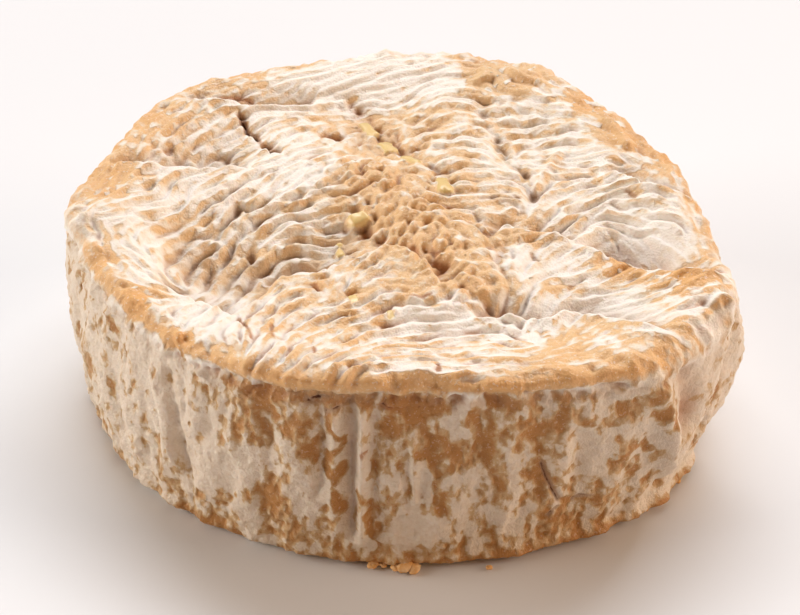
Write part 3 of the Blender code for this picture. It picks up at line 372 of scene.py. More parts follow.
        [(-46, 24), (-42, 31), (-38, 37)],
        [(20, -49.5), (28, -48), (36, -45)],
        [(48, 5), (49.5, -4), (50.5, -14)],
        [(-52, 4), (-51, 10), (-49, 16)],
        [(-30, 44), (-22, 48), (-12, 51.5)],
        [(2, 52), (10, 51), (14, 50)],
        [(40, 24), (44, 16), (46, 10)],
    ]),
}
CREST_GUIDE = 0.40         # share of the pitch over which a drawn crest holds the folds
HEIGHT_VARIETY = 0.30      # how much the folds' height wanders
DRAPED = 1.5               # how full the crests are where they hang like cloth
ROUND = 3.2                # and where they are lumps
NOTCHED = 0.60             # how deeply lumpy folds are notched across
NOTCH_ROUND = 3.0          # how full they are between the notches
LEAN = 0.25                # how far the folds lean over towards the front, for each unit of height
# How lumpy each lobe's folds are from 0 to 1, how much of its mould is worn off, how orange its
# bare rind is, and whether the crests (1) or the valleys (-1) are the bare ones
LOBE_FINISH = {
    "left basin": (0.30, 0.31, 0.18, 0.15),
    "lower basin": (0.40, 0.48, 0.24, 0.1),
    "left lobe": (0.15, 0.31, 0.22, 0.1),
    "inner left lobe": (0.20, 0.26, 0.28, 0.5),
    "far left lobe": (0.20, 0.40, 0.28, -0.2),
    "back left lobe": (0.30, 0.30, 0.25, 0.6),
    "back stripes": (0.10, 0.14, 0.30, -1.0),
    "gully banks": (0.80, 0.58, 0.40, -0.2),
    "right column": (0.55, 0.43, 0.20, -0.3),
    "right back column": (0.75, 0.40, 0.22, -0.2),
    "white field": (0.05, 0.26, 0.20, 0.7),
    "right lobes": (0.30, 0.34, 0.28, 0.7),
    "right rim": (0.20, 0.25, 0.45, 0.5),
    "shaded slopes": (0.10, 0.12, 0.15, 0.5),
    "brain": (0.90, 0.64, 0.36, -0.3),
    "inner ledge": (0.70, 0.52, 0.32, -0.2),
    "front lobe": (0.60, 0.46, 0.36, 0.5),
    "front ledge": (0.50, 0.50, 0.42, 0.4),
    "front slope": (0.15, 0.40, 0.38, 1.0),
    "front middle": (0.25, 0.38, 0.50, 1.0),
    "front right plateau": (0.15, 0.63, 0.45, 0.5),
    "front right lobes": (0.30, 0.32, 0.45, 0.8),
    "left slope": (0.15, 0.22, 0.30, 0.5),
    "rim": (0.30, 0.58, 0.50, 0.7),
}
# Where the rind is worn or stained more, or less where below 0: (x, y, radius, worn, orange)
STAINS = {
    "left_rim": (-47.0, 9.0, 4.0, 0.45, 0.25),
    "left_brow": (-49.0, 1.0, 3.0, 0.35, 0.30),
    "far_left_rim": (-43.0, 27.0, 5.0, 0.25, 0.25),
    "front_left_rim": (-41.0, -28.5, 4.0, 0.45, 0.45),
    "front_left_rim_low": (-33.0, -39.5, 3.5, 0.45, 0.40),
    "left_front_rim": (-48.0, -17.0, 3.0, 0.35, 0.30),
    "back_left_rim": (-28.0, 44.0, 5.0, 0.20, 0.20),
    "back_lump": (15.5, 44.0, 4.0, 0.80, -0.10),
    "back_ridge": (23.0, 43.0, 4.5, 0.70, 0.20),
    "right_back_rim": (33.0, 34.0, 4.0, 0.60, 0.40),
    "rim_lozenge": (38.2, 24.8, 4.0, 0.75, 0.15),
    "right_rim": (46.0, 15.0, 4.0, 0.40, 0.20),
    "right_shoulder": (45.0, -24.0, 5.0, 0.45, 0.35),
    "lobe_end": (36.0, -17.5, 4.0, 0.50, 0.35),
    "plateau_white": (31.0, -41.0, 3.4, -0.30, 0.0),
    "plateau_white_right": (38.5, -38.5, 2.4, -0.60, 0.0),
    "plateau_edge": (27.0, -30.0, 4.0, -0.50, 0.0),
    "plateau_left": (16.0, -34.5, 3.0, -0.90, 0.0),
    "plateau_left_low": (20.5, -38.5, 2.4, -0.80, 0.0),
    "middle_white": (9.0, -30.5, 3.0, -0.90, 0.0),
    "middle_white_left": (2.5, -32.0, 3.5, -0.60, 0.0),
    "plateau_edge_right": (33.0, -33.5, 3.4, -0.60, 0.0),
    "plateau_edge_left": (21.5, -31.0, 2.4, -0.80, 0.0),
    "field_brow": (21.0, -9.5, 3.0, 0.35, 0.10),
    "field_patch": (25.0, -23.0, 2.8, 0.45, 0.10),
    "field_left": (17.5, -16.0, 3.5, -0.30, 0.0),
    "far_right_hollow": (40.0, -8.0, 5.0, -0.30, 0.0),
    "basin_white": (-16.0, 10.0, 4.0, -0.20, 0.0),
    "lower_left_white": (-30.0, -35.0, 5.0, -0.28, 0.0),
}
# Pale yellow paste that has welled up through splits: (points, half width, height)
PASTE = {
    "bead": ([(-7.2, 0.4), (-6.7, -1.4), (-6.3, -2.6)], 1.9, 1.6),
    "narrow_bead": ([(-9.9, -5.5), (-9.7, -8.0), (-9.6, -10.5)], 0.9, 0.9),
    "gully_top": ([(-6.8, 35.0), (-5.6, 32.0), (-4.2, 29.4)], 1.2, 0.7),
    "gully_middle": ([(-3.2, 27.0), (-2.0, 24.0), (-1.0, 21.6)], 1.5, 0.9),
    "gully_low": ([(0.4, 19.4), (2.0, 16.4), (3.6, 14.4)], 1.3, 0.8),
    "gully_foot": ([(6.8, 9.6), (7.5, 6.0), (8.0, 3.2)], 1.3, 0.9),
    "front_spot": ([(-7.7, -25.0), (-7.3, -26.3), (-7.0, -27.5)], 0.8, 0.2),
    "slope_spot": ([(-1.8, -28.5), (-1.5, -30.0), (-1.4, -31.0)], 0.6, 0.1),
}
# How much of the wall's mould is worn off, and of the rim's, by bearing
WALL_WORN = {-60: 0.37, -35: 0.20, 0: 0.24, 60: 0.32, 120: 0.32, 170: 0.24, 210: 0.19, 240: 0.26, 270: 0.36}
RIM_WORN = {
    -90: 0.62, -60: 0.70, -45: 0.50, -30: 0.35, -10: 0.50, 20: 0.62, 45: 0.66, 62: 0.60, 72: 0.60,
    85: 0.35, 100: 0.45, 115: 0.66, 150: 0.62, 172: 0.52, 190: 0.45, 202: 0.66, 230: 0.74, 250: 0.64,
}

# Furrows of the wall: (bearing at the top, bearing at the foot, depth, half width, top, foot)
WALL_FURROWS = [
    (-98.6, -98.2, 1.9, 1.3, 32, 3), (-103.3, -103.5, 1.0, 0.9, 31, 12), (-94.2, -94.3, 0.7, 0.7, 29, 6),
    (-133.5, -127.8, 1.0, 0.9, 29, 6), (-113.0, -111.0, 0.7, 1.4, 27, 12), (-89.0, -88.6, 0.6, 0.7, 23, 11),
    (-80.8, -80.6, 0.5, 1.5, 31, 20), (-61.5, -60.5, 0.6, 1.2, 25, 10), (-151.0, -147.0, 0.6, 1.6, 24, 6),
    (-44.0, -38.5, 2.3, 2.4, 31, 12), (-29.0, -33.0, 0.9, 1.8, 26, 8),
    (172.0, 176.0, 1.0, 1.8, 28, 8), (142.0, 139.0, 0.9, 1.6, 27, 6), (112.0, 115.0, 1.3, 1.6, 30, 4),
    (84.0, 81.0, 0.8, 1.8, 27, 8), (58.0, 61.0, 1.2, 1.5, 29, 6), (31.0, 28.0, 0.8, 1.7, 26, 6),
    (8.0, 11.0, 1.0, 1.6, 28, 8),
]
# Folds of the wall that stand proud: (bearing at the top, bearing at the foot, height, half width,
# top, foot)
WALL_FOLDS = [
    (-96.2, -96.2, 1.0, 0.8, 31, 2), (-100.9, -100.8, 0.8, 1.0, 30, 4), (-87.9, -87.6, 0.6, 0.7, 24, 11),
    (-50.2, -42.5, 2.2, 1.8, 31, 5), (-136.5, -131.0, 0.8, 1.6, 28, 8), (-20.0, -27.0, 1.5, 2.2, 28, 8),
    (-84.0, -86.0, 0.7, 2.4, 12, 3), (-104.5, -105.0, 0.6, 2.2, 19, 8), (118.0, 119.0, 0.7, 1.6, 28, 8),
    (64.0, 66.0, 0.7, 1.6, 27, 8), (3.0, 5.0, 0.8, 1.8, 28, 10), (166.0, 168.0, 0.8, 2.0, 29, 10),
]
# Cracks of the wall: (places as bearing and height, depth, half width)
WALL_CRACKS = [
    ([(-67.2, 19.0), (-65.8, 14.2), (-63.2, 8.8)], 0.8, 0.28),
    ([(-63.4, 9.0), (-64.6, 8.2), (-65.8, 6.8)], 0.5, 0.25),
    ([(-61.4, 8.6), (-59.6, 9.6), (-57.6, 9.0)], 0.5, 0.25),
    ([(-106.0, 28.4), (-104.6, 29.2), (-103.2, 29.3)], 0.4, 0.22),
    ([(-102.8, 27.2), (-101.2, 28.2), (-99.6, 28.5)], 0.4, 0.22),
    ([(-93.4, 29.0), (-92.2, 28.5), (-91.2, 28.5)], 0.4, 0.22),
    ([(-96.6, 20.6), (-95.8, 21.0), (-95.2, 21.0)], 0.4, 0.22),
]
# Where the wall's mould is worn off, or thick where below 0:
# (bearing, height, half width, half height, worn)
WALL_STAINS = [
    (-148.8, 26.2, 1.6, 2.8, 0.30), (-124.2, 25.2, 1.3, 2.6, 0.30), (-120.5, 21.5, 2.0, 2.8, 0.18),
    (-114.0, 22.0, 2.2, 2.8, 0.18), (-107.8, 25.0, 3.0, 3.6, 0.18), (-112.0, 10.2, 2.8, 2.6, 0.30),
    (-104.6, 21.0, 1.8, 1.3, 0.35), (-105.5, 4.5, 3.2, 1.6, 0.35), (-100.6, 25.0, 1.2, 4.5, 0.50),
    (-101.0, 17.5, 1.0, 5.0, 0.45), (-100.5, 8.8, 1.1, 4.0, 0.40), (-94.8, 8.0, 0.7, 4.5, 0.40),
    (-91.2, 12.5, 1.4, 0.9, 0.35), (-88.8, 27.8, 4.2, 3.0, 0.35), (-84.8, 22.0, 2.4, 1.5, 0.35),
    (-83.6, 17.0, 1.0, 2.8, 0.35), (-84.6, 11.5, 1.1, 2.8, 0.35), (-76.0, 25.0, 2.6, 3.6, 0.40),
    (-67.0, 24.5, 5.0, 3.2, 0.30), (-68.8, 13.5, 4.6, 4.0, 0.12), (-54.0, 26.0, 3.6, 1.5, 0.35),
    (-47.0, 21.5, 1.3, 3.4, 0.35), (-51.2, 14.5, 1.0, 3.6, 0.35), (-48.5, 7.5, 1.4, 3.0, 0.30),
    (-131.5, 24.0, 2.5, 5.0, -0.25), (-123.5, 13.0, 3.0, 5.0, -0.30), (-117.0, 15.5, 3.0, 4.0, -0.30),
    (-104.6, 13.0, 2.6, 3.6, -0.45), (-98.3, 18.0, 1.4, 12.0, -0.45), (-96.2, 16.0, 0.6, 14.0, -0.50),
    (-87.0, 6.5, 4.2, 4.5, -0.45), (-80.6, 27.0, 1.4, 4.5, -0.50), (-78.5, 13.0, 3.0, 4.0, -0.20),
    (-71.8, 8.0, 3.2, 2.4, -0.30), (-58.0, 17.5, 2.4, 6.0, -0.40), (-59.0, 30.0, 6.5, 1.3, -0.35),
    (-49.8, 18.5, 1.5, 3.0, -0.35), (-40.5, 22.0, 3.2, 7.0, -0.45), (-37.0, 12.0, 3.0, 3.0, -0.20),
]
WALL_RIPPLE = (84.0, 7.5, 0.30, 0.55)  # direction, pitch, height and how parallel, all round
UNDERCUT = (0.6, 2.0, 0.8)             # below the front rim: depth, distance below the crest, half width
UNDERCUT_BEARINGS = (-120.0, -58.0)    # where along the rim it lies
UNDERCUT_SHADE = (0.7, 1.0)            # painted shadow below it, a barer, darker band: distance below it, half width
FOOT_LIP = (1.1, 0.9)                  # rind pressed out at the foot: height, half thickness
FOOT_LIP_OUT = {                       # how far it stands out, by bearing
    -110: 0.0, -100: 0.5, -93: 0.1, -86: 0.6, -80: 0.4, -72: 1.1, -64: 0.8, -56: 1.4, -50: 0.9, -43: 1.6,
    -38: 0.9, -33: 1.4, -25: 0.2, -15: 0.0, 40: 0.3, 70: 0.0, 120: 0.4, 150: 0.0, 185: 0.5, 205: 0.2,
    230: 0.5,
}

# How finely the relief is drawn and the mesh is cut
TOP_SPAN = 124.0           # side of the square map of the top
TOP_CELLS = 448            # cells along that side
WALL_SPAN = 38.0           # height of the map of the unrolled wall
WALL_CELLS = (1152, 128)   # cells round the wall and up it
TOP_QUADS = 380            # squares along each side of the top's grid
WALL_ROWS = 76             # rows of squares from the foot to halfway round the rim
WHEEL_TRIANGLES = 196000   # after thinning, which keeps the most where the rind folds most

# How far above the plain top these stand, which says where they lie
EDGE_LEVEL = 1.2
SWELL_LEVEL = 1.0
STAIN_LEVEL = 0.5
BEAD_LEVEL = 1.0

# How lobes and folds are shaped
LOBE_SWELL = 1.6           # how much of a lobe's level its plain surface takes
EDGE_BOLDNESS = 1.5        # how much bolder the lobes' edges are than drawn
EDGE_SOFTNESS = 0.40       # blur of the lobes' edges
FELT_WITHIN = 16.0         # how far from a drawn crest or lobe edge anything is felt of it
FOLD_REACH = 3.4           # how far one drawn crest sets the direction of its neighbours
FAR_SHARE = 1e-5           # how much say it has beyond that, where no other crest is near,
FAR_REACH = 8.0            # and how far
TOP_PITCHES = (2.3, 3.2, 4.5)  # pitches that the folds of the top are blended from,
WALL_PITCHES = (6.0, 9.0)  # and those of the wall
FOLD_DIRECTIONS = 12       # directions that the waves of a fold are sorted into
FOLD_SPREAD = 19.0         # degrees to each side that a direction takes in
FOLD_BAND = 0.30           # share of the pitch to each side that a pitch takes in
EVERY_WAY = 0.42           # share of each direction where the folds run along any of them
FOLD_ROUNDS = 6            # rounds in which folds grow out of noise
FOLD_SHARPNESS = 1.3       # how much each round sharpens them
FOLD_EVENING = 9.0         # width over which their strength is evened out
FOLD_CALM = 0.04           # waves whose squared strength is below this stay faint
FOLD_SEED = 11
FOLD_WANDER = 11.0         # degrees by which folds turn from the drawn direction
SWAY = 0.28                # how far the folds wander sideways
FOLD_BOLDNESS = 1.35       # how much higher the folds are than given
FINE_PITCHES = (1.3, 1.8)  # small wrinkles on the folds
FINE_PITCH = 1.25 * FINE_PITCHES[0]
FINE_HEIGHT = 0.32
RIM_WRINKLE = 0.26         # height of the rim's wrinkles
WALL_LUMPS = 0.23          # height of the wall's lumps
FILM = 0.12                # how thick the mould is on the top
WALL_FILM = 0.24           # and on the wall
WALL_STRETCH = 1.7         # how much taller than wide the wall's patches are
RIM_STRETCH = 0.35         # how much taller than wide the rim's wrinkles are on the wall's side
RIM_HOLD = 0.9             # how fully the rim takes its own wear,
RIM_WARMTH = 0.75          # how orange it is,
RIM_WARMTH_HOLD = 0.7      # and how fully it takes that


def smoothstep(low, high, x):
    t = np.clip((x - low) / (high - low), 0.0, 1.0)
    return t * t * (3.0 - 2.0 * t)


def around(table, bearings):
    """Values of a table of bearings, joined by a smooth closed curve."""
    known = sorted((bearing % 360.0, value) for bearing, value in table.items())
    angles = np.array([angle for angle, _ in known])
    values = np.array([value for _, value in known])
    count = len(known)
    wanted = np.mod(bearings, 360.0)
    right = np.searchsorted(angles, wanted, side="right")
    before, after = (right - 1) % count, right % count
    gap = np.mod(angles[after] - angles[before], 360.0)
    t = np.mod(wanted - angles[before], 360.0) / gap

    def slope(i):
        """Rise per degree at a known bearing, flat where it is a peak or a dip."""
        left, ahead = (i - 1) % count, (i + 1) % count
        fall = (values[i] - values[left]) / np.mod(angles[i] - angles[left], 360.0)
        climb = (values[ahead] - values[i]) / np.mod(angles[ahead] - angles[i], 360.0)
        return np.where(fall * climb > 0.0, 2.0 * fall * climb / (fall + climb + 1e-12), 0.0)

    p, q = values[before], values[after]
    m, n = slope(before) * gap, slope(after) * gap
    return (
        p * (1 + 2 * t) * (1 - t) ** 2 + m * t * (1 - t) ** 2
        + q * t ** 2 * (3 - 2 * t) + n * t ** 2 * (t - 1)
    )


def crest_height(bearing):
    return RIM_HEIGHT + RIM_RISE_BACK * np.sin(np.radians(bearing))


def dish_height(radius, bearing):
    """Height of the plain top: a tilted plane that sinks inside the rim."""
    share = np.minimum(radius / around(RIM_RADIUS, bearing), 1.0)
    plane = RIM_HEIGHT + share * (crest_height(bearing) - RIM_HEIGHT)
    return plane - DISH_DEPTH * (1 - smoothstep(*DISH_EDGE, share))


def as_it_lies(points, level=0.0):
    """Moves points as the camera sees them to where they lie on a top that stands this much higher."""
    x, y = np.array(points, float).T
    height, depth, radius = READ_DISH
    read = height - depth * (1 - smoothstep(*DISH_EDGE, np.hypot(x, y) / radius))
    lies = y
    for _ in range(4):
        real = dish_height(np.hypot(x, lies), np.degrees(np.arctan2(lies, x))) + level
        lies = y - SIGHT_SLOPE * (real - read)
    return np.stack([x, lies], axis=1)


def curve_through(points, spacing=0.8):
    """Evenly spaced points on a smooth curve through the given ones."""
    p = np.array(points, float)
    padded = np.vstack([2 * p[0] - p[1], p, 2 * p[-1] - p[-2]])
    run = []
    for a, b, c, d in zip(padded, padded[1:], padded[2:], padded[3:]):
        steps = max(2, int(np.linalg.norm(c - b) / spacing))
        t = np.linspace(0.0, 1.0, steps, endpoint=False)[:, None]
        run.append(0.5 * (2 * b + (c - a) * t + (2 * a - 5 * b + 4 * c - d) * t ** 2
                          + (3 * b - a - 3 * c + d) * t ** 3))
    return np.vstack(run + [p[-1:]])


def beside(curve, x, y, reach):
    """Signed distance from the curve, plus on its right side, how full it is there, and its direction.

    Cells further away than reach get a large distance.
    """
    distance = np.full(x.shape, 1e3)
    fullness = np.zeros(x.shape)
    direction = np.zeros(x.shape)
    low, high = curve.min(0) - reach, curve.max(0) + reach
    near = (x > low[0]) & (x < high[0]) & (y > low[1]) & (y < high[1])
    px, py = x[near], y[near]
    best = np.full(px.shape, 1e6)
    side = np.zeros(px.shape)
    place = np.zeros(px.shape)
    angle = np.zeros(px.shape)
    for i, (start, end) in enumerate(zip(curve, curve[1:])):
        along = end - start
        t = np.clip(((px - start[0]) * along[0] + (py - start[1]) * along[1]) / (along @ along), 0.0, 1.0)
        dx, dy = px - start[0] - t * along[0], py - start[1] - t * along[1]
        squared = dx * dx + dy * dy
        closer = squared < best
        best = np.where(closer, squared, best)
        side = np.where(closer, np.sign(dx * along[1] - dy * along[0]), side)
        place = np.where(closer, (i + t) / (len(curve) - 1), place)
        angle = np.where(closer, math.atan2(along[1], along[0]), angle)
    distance[near] = np.sqrt(best) * np.where(side == 0, 1.0, side)
    fullness[near] = smoothstep(0.0, 0.16, place) * smoothstep(1.0, 0.84, place)
    direction[near] = angle
    return distance, fullness, direction


def lobe_edge(points, rise, depth, x, y, trough_width=6.5, edge_width=3.0, wall=0.4):
    """The raised edge of one lobe and the slope behind it, which runs down under that edge."""
    distance, fullness, _ = beside(curve_through(points), x, y, FELT_WITHIN)
    front = smoothstep(-wall, wall, distance)
    raised = rise * np.exp(-np.maximum(distance, 0.0) / edge_width)
    sunk = depth * np.clip(1 + np.minimum(distance, 0.0) / trough_width, 0.0, 1.0) ** 1.5
    return fullness * (raised * front - sunk * (1.0 - front))


def swell(points, height, half_width, x, y):
    """A rounded ridge, or a groove where the height is below 0."""
    distance, fullness, _ = beside(curve_through(points), x, y, 3.0 * half_width)
    return height * fullness * np.exp(-(distance / half_width) ** 2)


def blurred(field, cell, radius):
    """The field with anything finer than this radius smoothed away."""
    rows, columns = field.shape
    fy = np.fft.fftfreq(rows, cell)[:, None]
    fx = np.fft.rfftfreq(columns, cell)[None, :]
    soft = np.exp(-2 * (math.pi * radius) ** 2 * (fx ** 2 + fy ** 2))
    return np.fft.irfft2(np.fft.rfft2(field) * soft, s=field.shape)


def noise(shape, cell, size, seed):
    """Smooth noise of unit size, whose bumps are about this wide."""
    field = blurred(np.random.default_rng(seed).standard_normal(shape), cell, size / 5)
    return field / field.std()


def patches(shape, cell, size, seed, stretch=1.0):
    """Ragged noise of unit size: patches of this width, with smaller and smaller ones in their edges."""
    rows, columns = shape
    fy = np.fft.fftfreq(rows, cell)[:, None] * stretch
    fx = np.fft.rfftfreq(columns, cell)[None, :]
    frequency = np.hypot(fx, fy) * size
    strength = frequency ** 2 / (0.25 + frequency ** 2) ** 1.9 * np.exp(-(frequency / 9.0) ** 2)
    spectrum = np.fft.rfft2(np.random.default_rng(seed).standard_normal(shape))
    field = np.fft.irfft2(spectrum * strength, s=shape)
    return field / field.std()


def read_grid(grid, u, v, wraps):
    """Values between the cells of a grid, at column u and row v, counted in cells."""
    rows, columns = grid.shape
    u, v = u - 0.5, np.clip(v - 0.5, 0.0, rows - 1.001)
    if not wraps:
        u = np.clip(u, 0.0, columns - 1.001)
    u0, v0 = np.floor(u).astype(int), np.floor(v).astype(int)
    fu, fv = u - u0, v - v0
    left, right = u0 % columns, (u0 + 1) % columns
    low = grid[v0, left] * (1 - fu) + grid[v0, right] * fu
    high = grid[v0 + 1, left] * (1 - fu) + grid[v0 + 1, right] * fu
    return low * (1 - fv) + high * fv


def read_top(grid, x, y):
    scale = TOP_CELLS / TOP_SPAN
    return read_grid(grid, (x + TOP_SPAN / 2) * scale, (y + TOP_SPAN / 2) * scale, False)


def read_wall(grid, bearing, z):
    columns, rows = WALL_CELLS
    return read_grid(grid, (bearing / 360.0 + 0.5) * columns, z * rows / WALL_SPAN, True)


def fold_maps(x, y):
    """What the drawn crests ask of each cell.

    Their pitch, height, parallelness, level and finish are blended by distance, and so is their
    direction. The guide is 1 on a drawn crest and -1 half a pitch beside it, and the hold says
    where that counts.
    """
    total = np.full(x.shape, 1e-9)
    sums = [np.zeros(x.shape) for _ in range(10)]
    guide, hold = np.zeros(x.shape), np.full(x.shape, 1e-6)
    for lobe, (pitch, height, parallel, level, crests) in TOP_FOLDS.items():
        values = (pitch, height, parallel, level, *LOBE_FINISH[lobe])
        for points in crests:
            curve = curve_through(as_it_lies(points, level))
            distance, fullness, angle = beside(curve, x, y, FELT_WITHIN)
            away = np.abs(distance)
            weight = np.exp(-(away / FOLD_REACH) ** 2 / 2) + FAR_SHARE * np.exp(-away / FAR_REACH)
            total += weight
            for s, value in zip(sums, (np.cos(2 * angle), np.sin(2 * angle), *values)):
                s += weight * value
            grip = fullness * np.exp(-(away / (CREST_GUIDE * pitch)) ** 2)
            guide += grip * np.cos(2 * math.pi * away / pitch)
            hold += grip
    cosine, sine, *blends = [s / total for s in sums]
    return 0.5 * np.arctan2(sine, cosine), *blends, guide / hold, np.clip(hold, 0.0, 1.0)


def grow_folds(direction, pitch, parallel, pitches, cell, seed, guide=0.0, hold=0.0):
    """A field from -1 in the valleys to 1 on the crests, grown out of noise.

    Each round keeps only waves of the local pitch that run along the local direction, or
    along any direction where parallel is 0, and sharpens them. Crests come out that fork,
    end and wander as the folds of a shrinking rind do, and that pass through the drawn ones.
    At the end each is set against the wave a quarter of a pitch beside it, which raises its
    weak stretches, so crests and valleys run on unbroken.
    """
    rows, columns = direction.shape
    fy = np.fft.fftfreq(rows, cell)[:, None]
    fx = np.fft.rfftfreq(columns, cell)[None, :]
    frequency = np.hypot(fx, fy)
    across = np.arctan2(fy, fx)
    spread = math.radians(FOLD_SPREAD)
    bands, shares = [], []
    step = math.log(pitches[1] / pitches[0])
    for band_pitch in pitches:
        ring = np.exp(-((frequency - 1 / band_pitch) * band_pitch / FOLD_BAND) ** 2)
        near_pitch = np.clip(1 - np.abs(np.log(pitch / band_pitch)) / step, 0, 1)
        for k in range(FOLD_DIRECTIONS):
            crest = math.pi * k / FOLD_DIRECTIONS
            off = np.angle(np.exp(2j * (across - crest - math.pi / 2))) / 2
            wedge = np.exp(-(off / spread) ** 2)
            turn = np.angle(np.exp(2j * (direction - crest))) / 2
            aligned = np.exp(-(turn / spread) ** 2)
            bands.append(ring * wedge)
            shares.append(near_pitch * (parallel * aligned + (1 - parallel) * EVERY_WAY))
    field = np.random.default_rng(seed).standard_normal((rows, columns))
    for _ in range(FOLD_ROUNDS):
        field = field * (1 - hold) + guide * hold
        spectrum = np.fft.rfft2(field)
        kept = np.zeros_like(field)
        for band, share in zip(bands, shares):
            kept += share * np.fft.irfft2(spectrum * band, s=field.shape)
        evened = np.fft.rfft2(kept ** 2) * np.exp(-(frequency * FOLD_EVENING) ** 2)
        power = np.fft.irfft2(evened, s=field.shape)
        field = np.tanh(FOLD_SHARPNESS * kept / np.sqrt(np.maximum(2 * power, 1e-9)))
    spectrum = np.fft.rfft2(field) / np.maximum(frequency, 1e-9)
    beside_x = np.fft.irfft2(1j * fx * spectrum, s=field.shape)
    beside_y = np.fft.irfft2(1j * fy * spectrum, s=field.shape)
    return field / np.sqrt(field ** 2 + beside_x ** 2 + beside_y ** 2 + FOLD_CALM)


def rounded(field, fullness=2.2):
    """Turns the waves into crests from 0 to 1.

    At fullness 1 they are as narrow as a draped cloth's, and at 2 or more they are full and
    round, with narrow valleys.
    """
    depth = np.arccos(np.clip(field, -1.0, 1.0)) / math.pi
    return 1.0 - depth ** fullness


def wrinkles(x, y, cell, seed):
    """Small wrinkles that run every way, from -1 to 1."""
    pitch = np.full(x.shape, FINE_PITCH)
    return grow_folds(np.zeros(x.shape), pitch, 0.15, FINE_PITCHES, cell, seed)


def top_relief():
    """Height of the folds above the plain dished top, and what colours them, seen from above."""
    cell = TOP_SPAN / TOP_CELLS
    edge = (np.arange(TOP_CELLS) + 0.5) * cell - TOP_SPAN / 2
    x, y = np.meshgrid(edge, edge)
    direction, pitch, height, parallel, level, lumpy, bare, warm, crest_worn, guide, hold = fold_maps(x, y)

    # The folds wander, differ in height, and are half as high at the rim.
    direction = direction + math.radians(FOLD_WANDER) * noise(x.shape, cell, 7.0, FOLD_SEED + 5)
    folds = grow_folds(direction, pitch, parallel, TOP_PITCHES, cell, FOLD_SEED, guide, hold)
    wander = [SWAY * noise(x.shape, cell, 5.5, FOLD_SEED + 17 + k) for k in range(2)]
    folds = read_top(folds, x + wander[0], y + wander[1])
    rim_gap = around(RIM_RADIUS, np.degrees(np.arctan2(y, x))) - np.hypot(x, y)
    height = height * (1 + HEIGHT_VARIETY * noise(x.shape, cell, 6.0, FOLD_SEED + 6))
    height *= 0.50 + 0.50 * smoothstep(0.3, 2.6, rim_gap)

    # Some valleys are shallower than others, and lumpy folds are notched across.
    deep = np.clip(0.88 + 0.20 * noise(x.shape, cell, 6.0, FOLD_SEED + 19), 0.35, 1.05)
    notches = grow_folds(direction + math.pi / 2, pitch, 0.5, TOP_PITCHES, cell, FOLD_SEED + 2)
    fullness = DRAPED + (ROUND - DRAPED) * lumpy
    crest = 1 - deep * (1 - rounded(folds, fullness))
    crest *= 1 - NOTCHED * lumpy * (1 - rounded(notches, NOTCH_ROUND))
    relief = height * FOLD_BOLDNESS * (crest - fullness / (fullness + 1))
    relief += LOBE_SWELL * blurred(level, cell, 1.0)

    # Lobes overlap. Grooves, holes and cracks cut into them, deeper here and shallower there, and
    # swells stand out.
    edges = np.zeros(x.shape)
    for points, rise, depth in LOBE_EDGES.values():
        edges += lobe_edge(as_it_lies(points, EDGE_LEVEL), rise, depth, x, y)
    relief += EDGE_BOLDNESS * blurred(edges, cell, EDGE_SOFTNESS)
    cut = np.zeros(x.shape)
    for points, depth, half_width in GROOVES.values():
        cut += swell(as_it_lies(points), depth, half_width, x, y)
    for seen_x, seen_y, depth, radius in HOLES.values():
        (cx, cy), = as_it_lies([(seen_x, seen_y)])
        across, along = (x - cx) / HOLE_WIDE, (y - cy) / HOLE_NARROW
        cut += depth * np.exp(-across ** 2 / radius ** 2 - along ** 2 / radius ** 2)
    torn = np.zeros(x.shape)
    for points, depth, half_width in CRACKS.values():
        crack = swell(as_it_lies(points, STAIN_LEVEL), depth, half_width, x, y)
        cut += crack
        torn = np.maximum(torn, crack / depth)
    cut *= np.clip(0.8 + 0.35 * noise(x.shape, cell, 2.6, FOLD_SEED + 21), 0.1, 1.4)
    relief -= cut
    for points, rise, half_width in SWELLS.values():
        relief += swell(as_it_lies(points, SWELL_LEVEL), rise, half_width, x, y)

    # Mould is worn off crests and stained spots. Slopes that face the front are made barer too, partly
    # wear and partly painted shade, as the light comes from behind. Narrow valleys, cuts, cavities and
    # cracks are painted darker, brown skin and painted shade together, and what lies lower than the folds
    # around it is greyed, grey mould and painted shade together.
    strong = np.clip(height / 1.2, 0.0, 1.0)
    fine_pitch = np.full(x.shape, FINE_PITCH)
    fine = grow_folds(direction, fine_pitch, 0.3 + 0.6 * parallel, FINE_PITCHES, cell, FOLD_SEED + 3)
    uneven = np.clip(1 + 0.6 * patches(x.shape, cell, 3.2, FOLD_SEED + 25), 0.0, 2.2)
    for seen_x, seen_y, radius, more_bare, more_warm in STAINS.values():
        (cx, cy), = as_it_lies([(seen_x, seen_y)], STAIN_LEVEL)
        share = np.exp(-((x - cx) ** 2 + (y - cy) ** 2) / radius ** 2)
        bare = bare + more_bare * share * uneven
        warm = warm + more_warm * share
    # Painted shade, partly: slopes that face the front, away from the light behind, are made barer and so
    # darker
    front_slope_wear_and_shade = np.tanh(1.5 * np.gradient(blurred(relief, cell, 0.35), cell, axis=0))
    # Painted shade in cavities, part of the darkening of creases below
    cavity_shade = blurred(relief, cell, 1.6) - blurred(relief, cell, 0.25)
    # Painted shade, with grey mould: hollows lower than the folds around them are greyed
    hollow_grey_and_shade = smoothstep(0.1, 1.6, blurred(relief, cell, 6.0) - blurred(relief, cell, 1.2))
    wear_and_shade = bare + 0.50 * crest_worn * np.sqrt(strong) * (crest - 0.7) + 0.15 * front_slope_wear_and_shade
    wear_and_shade += (0.04 + 0.12 * parallel * (1 - lumpy)) * fine + 0.09 * patches(x.shape, cell, 4.0, FOLD_SEED + 8)
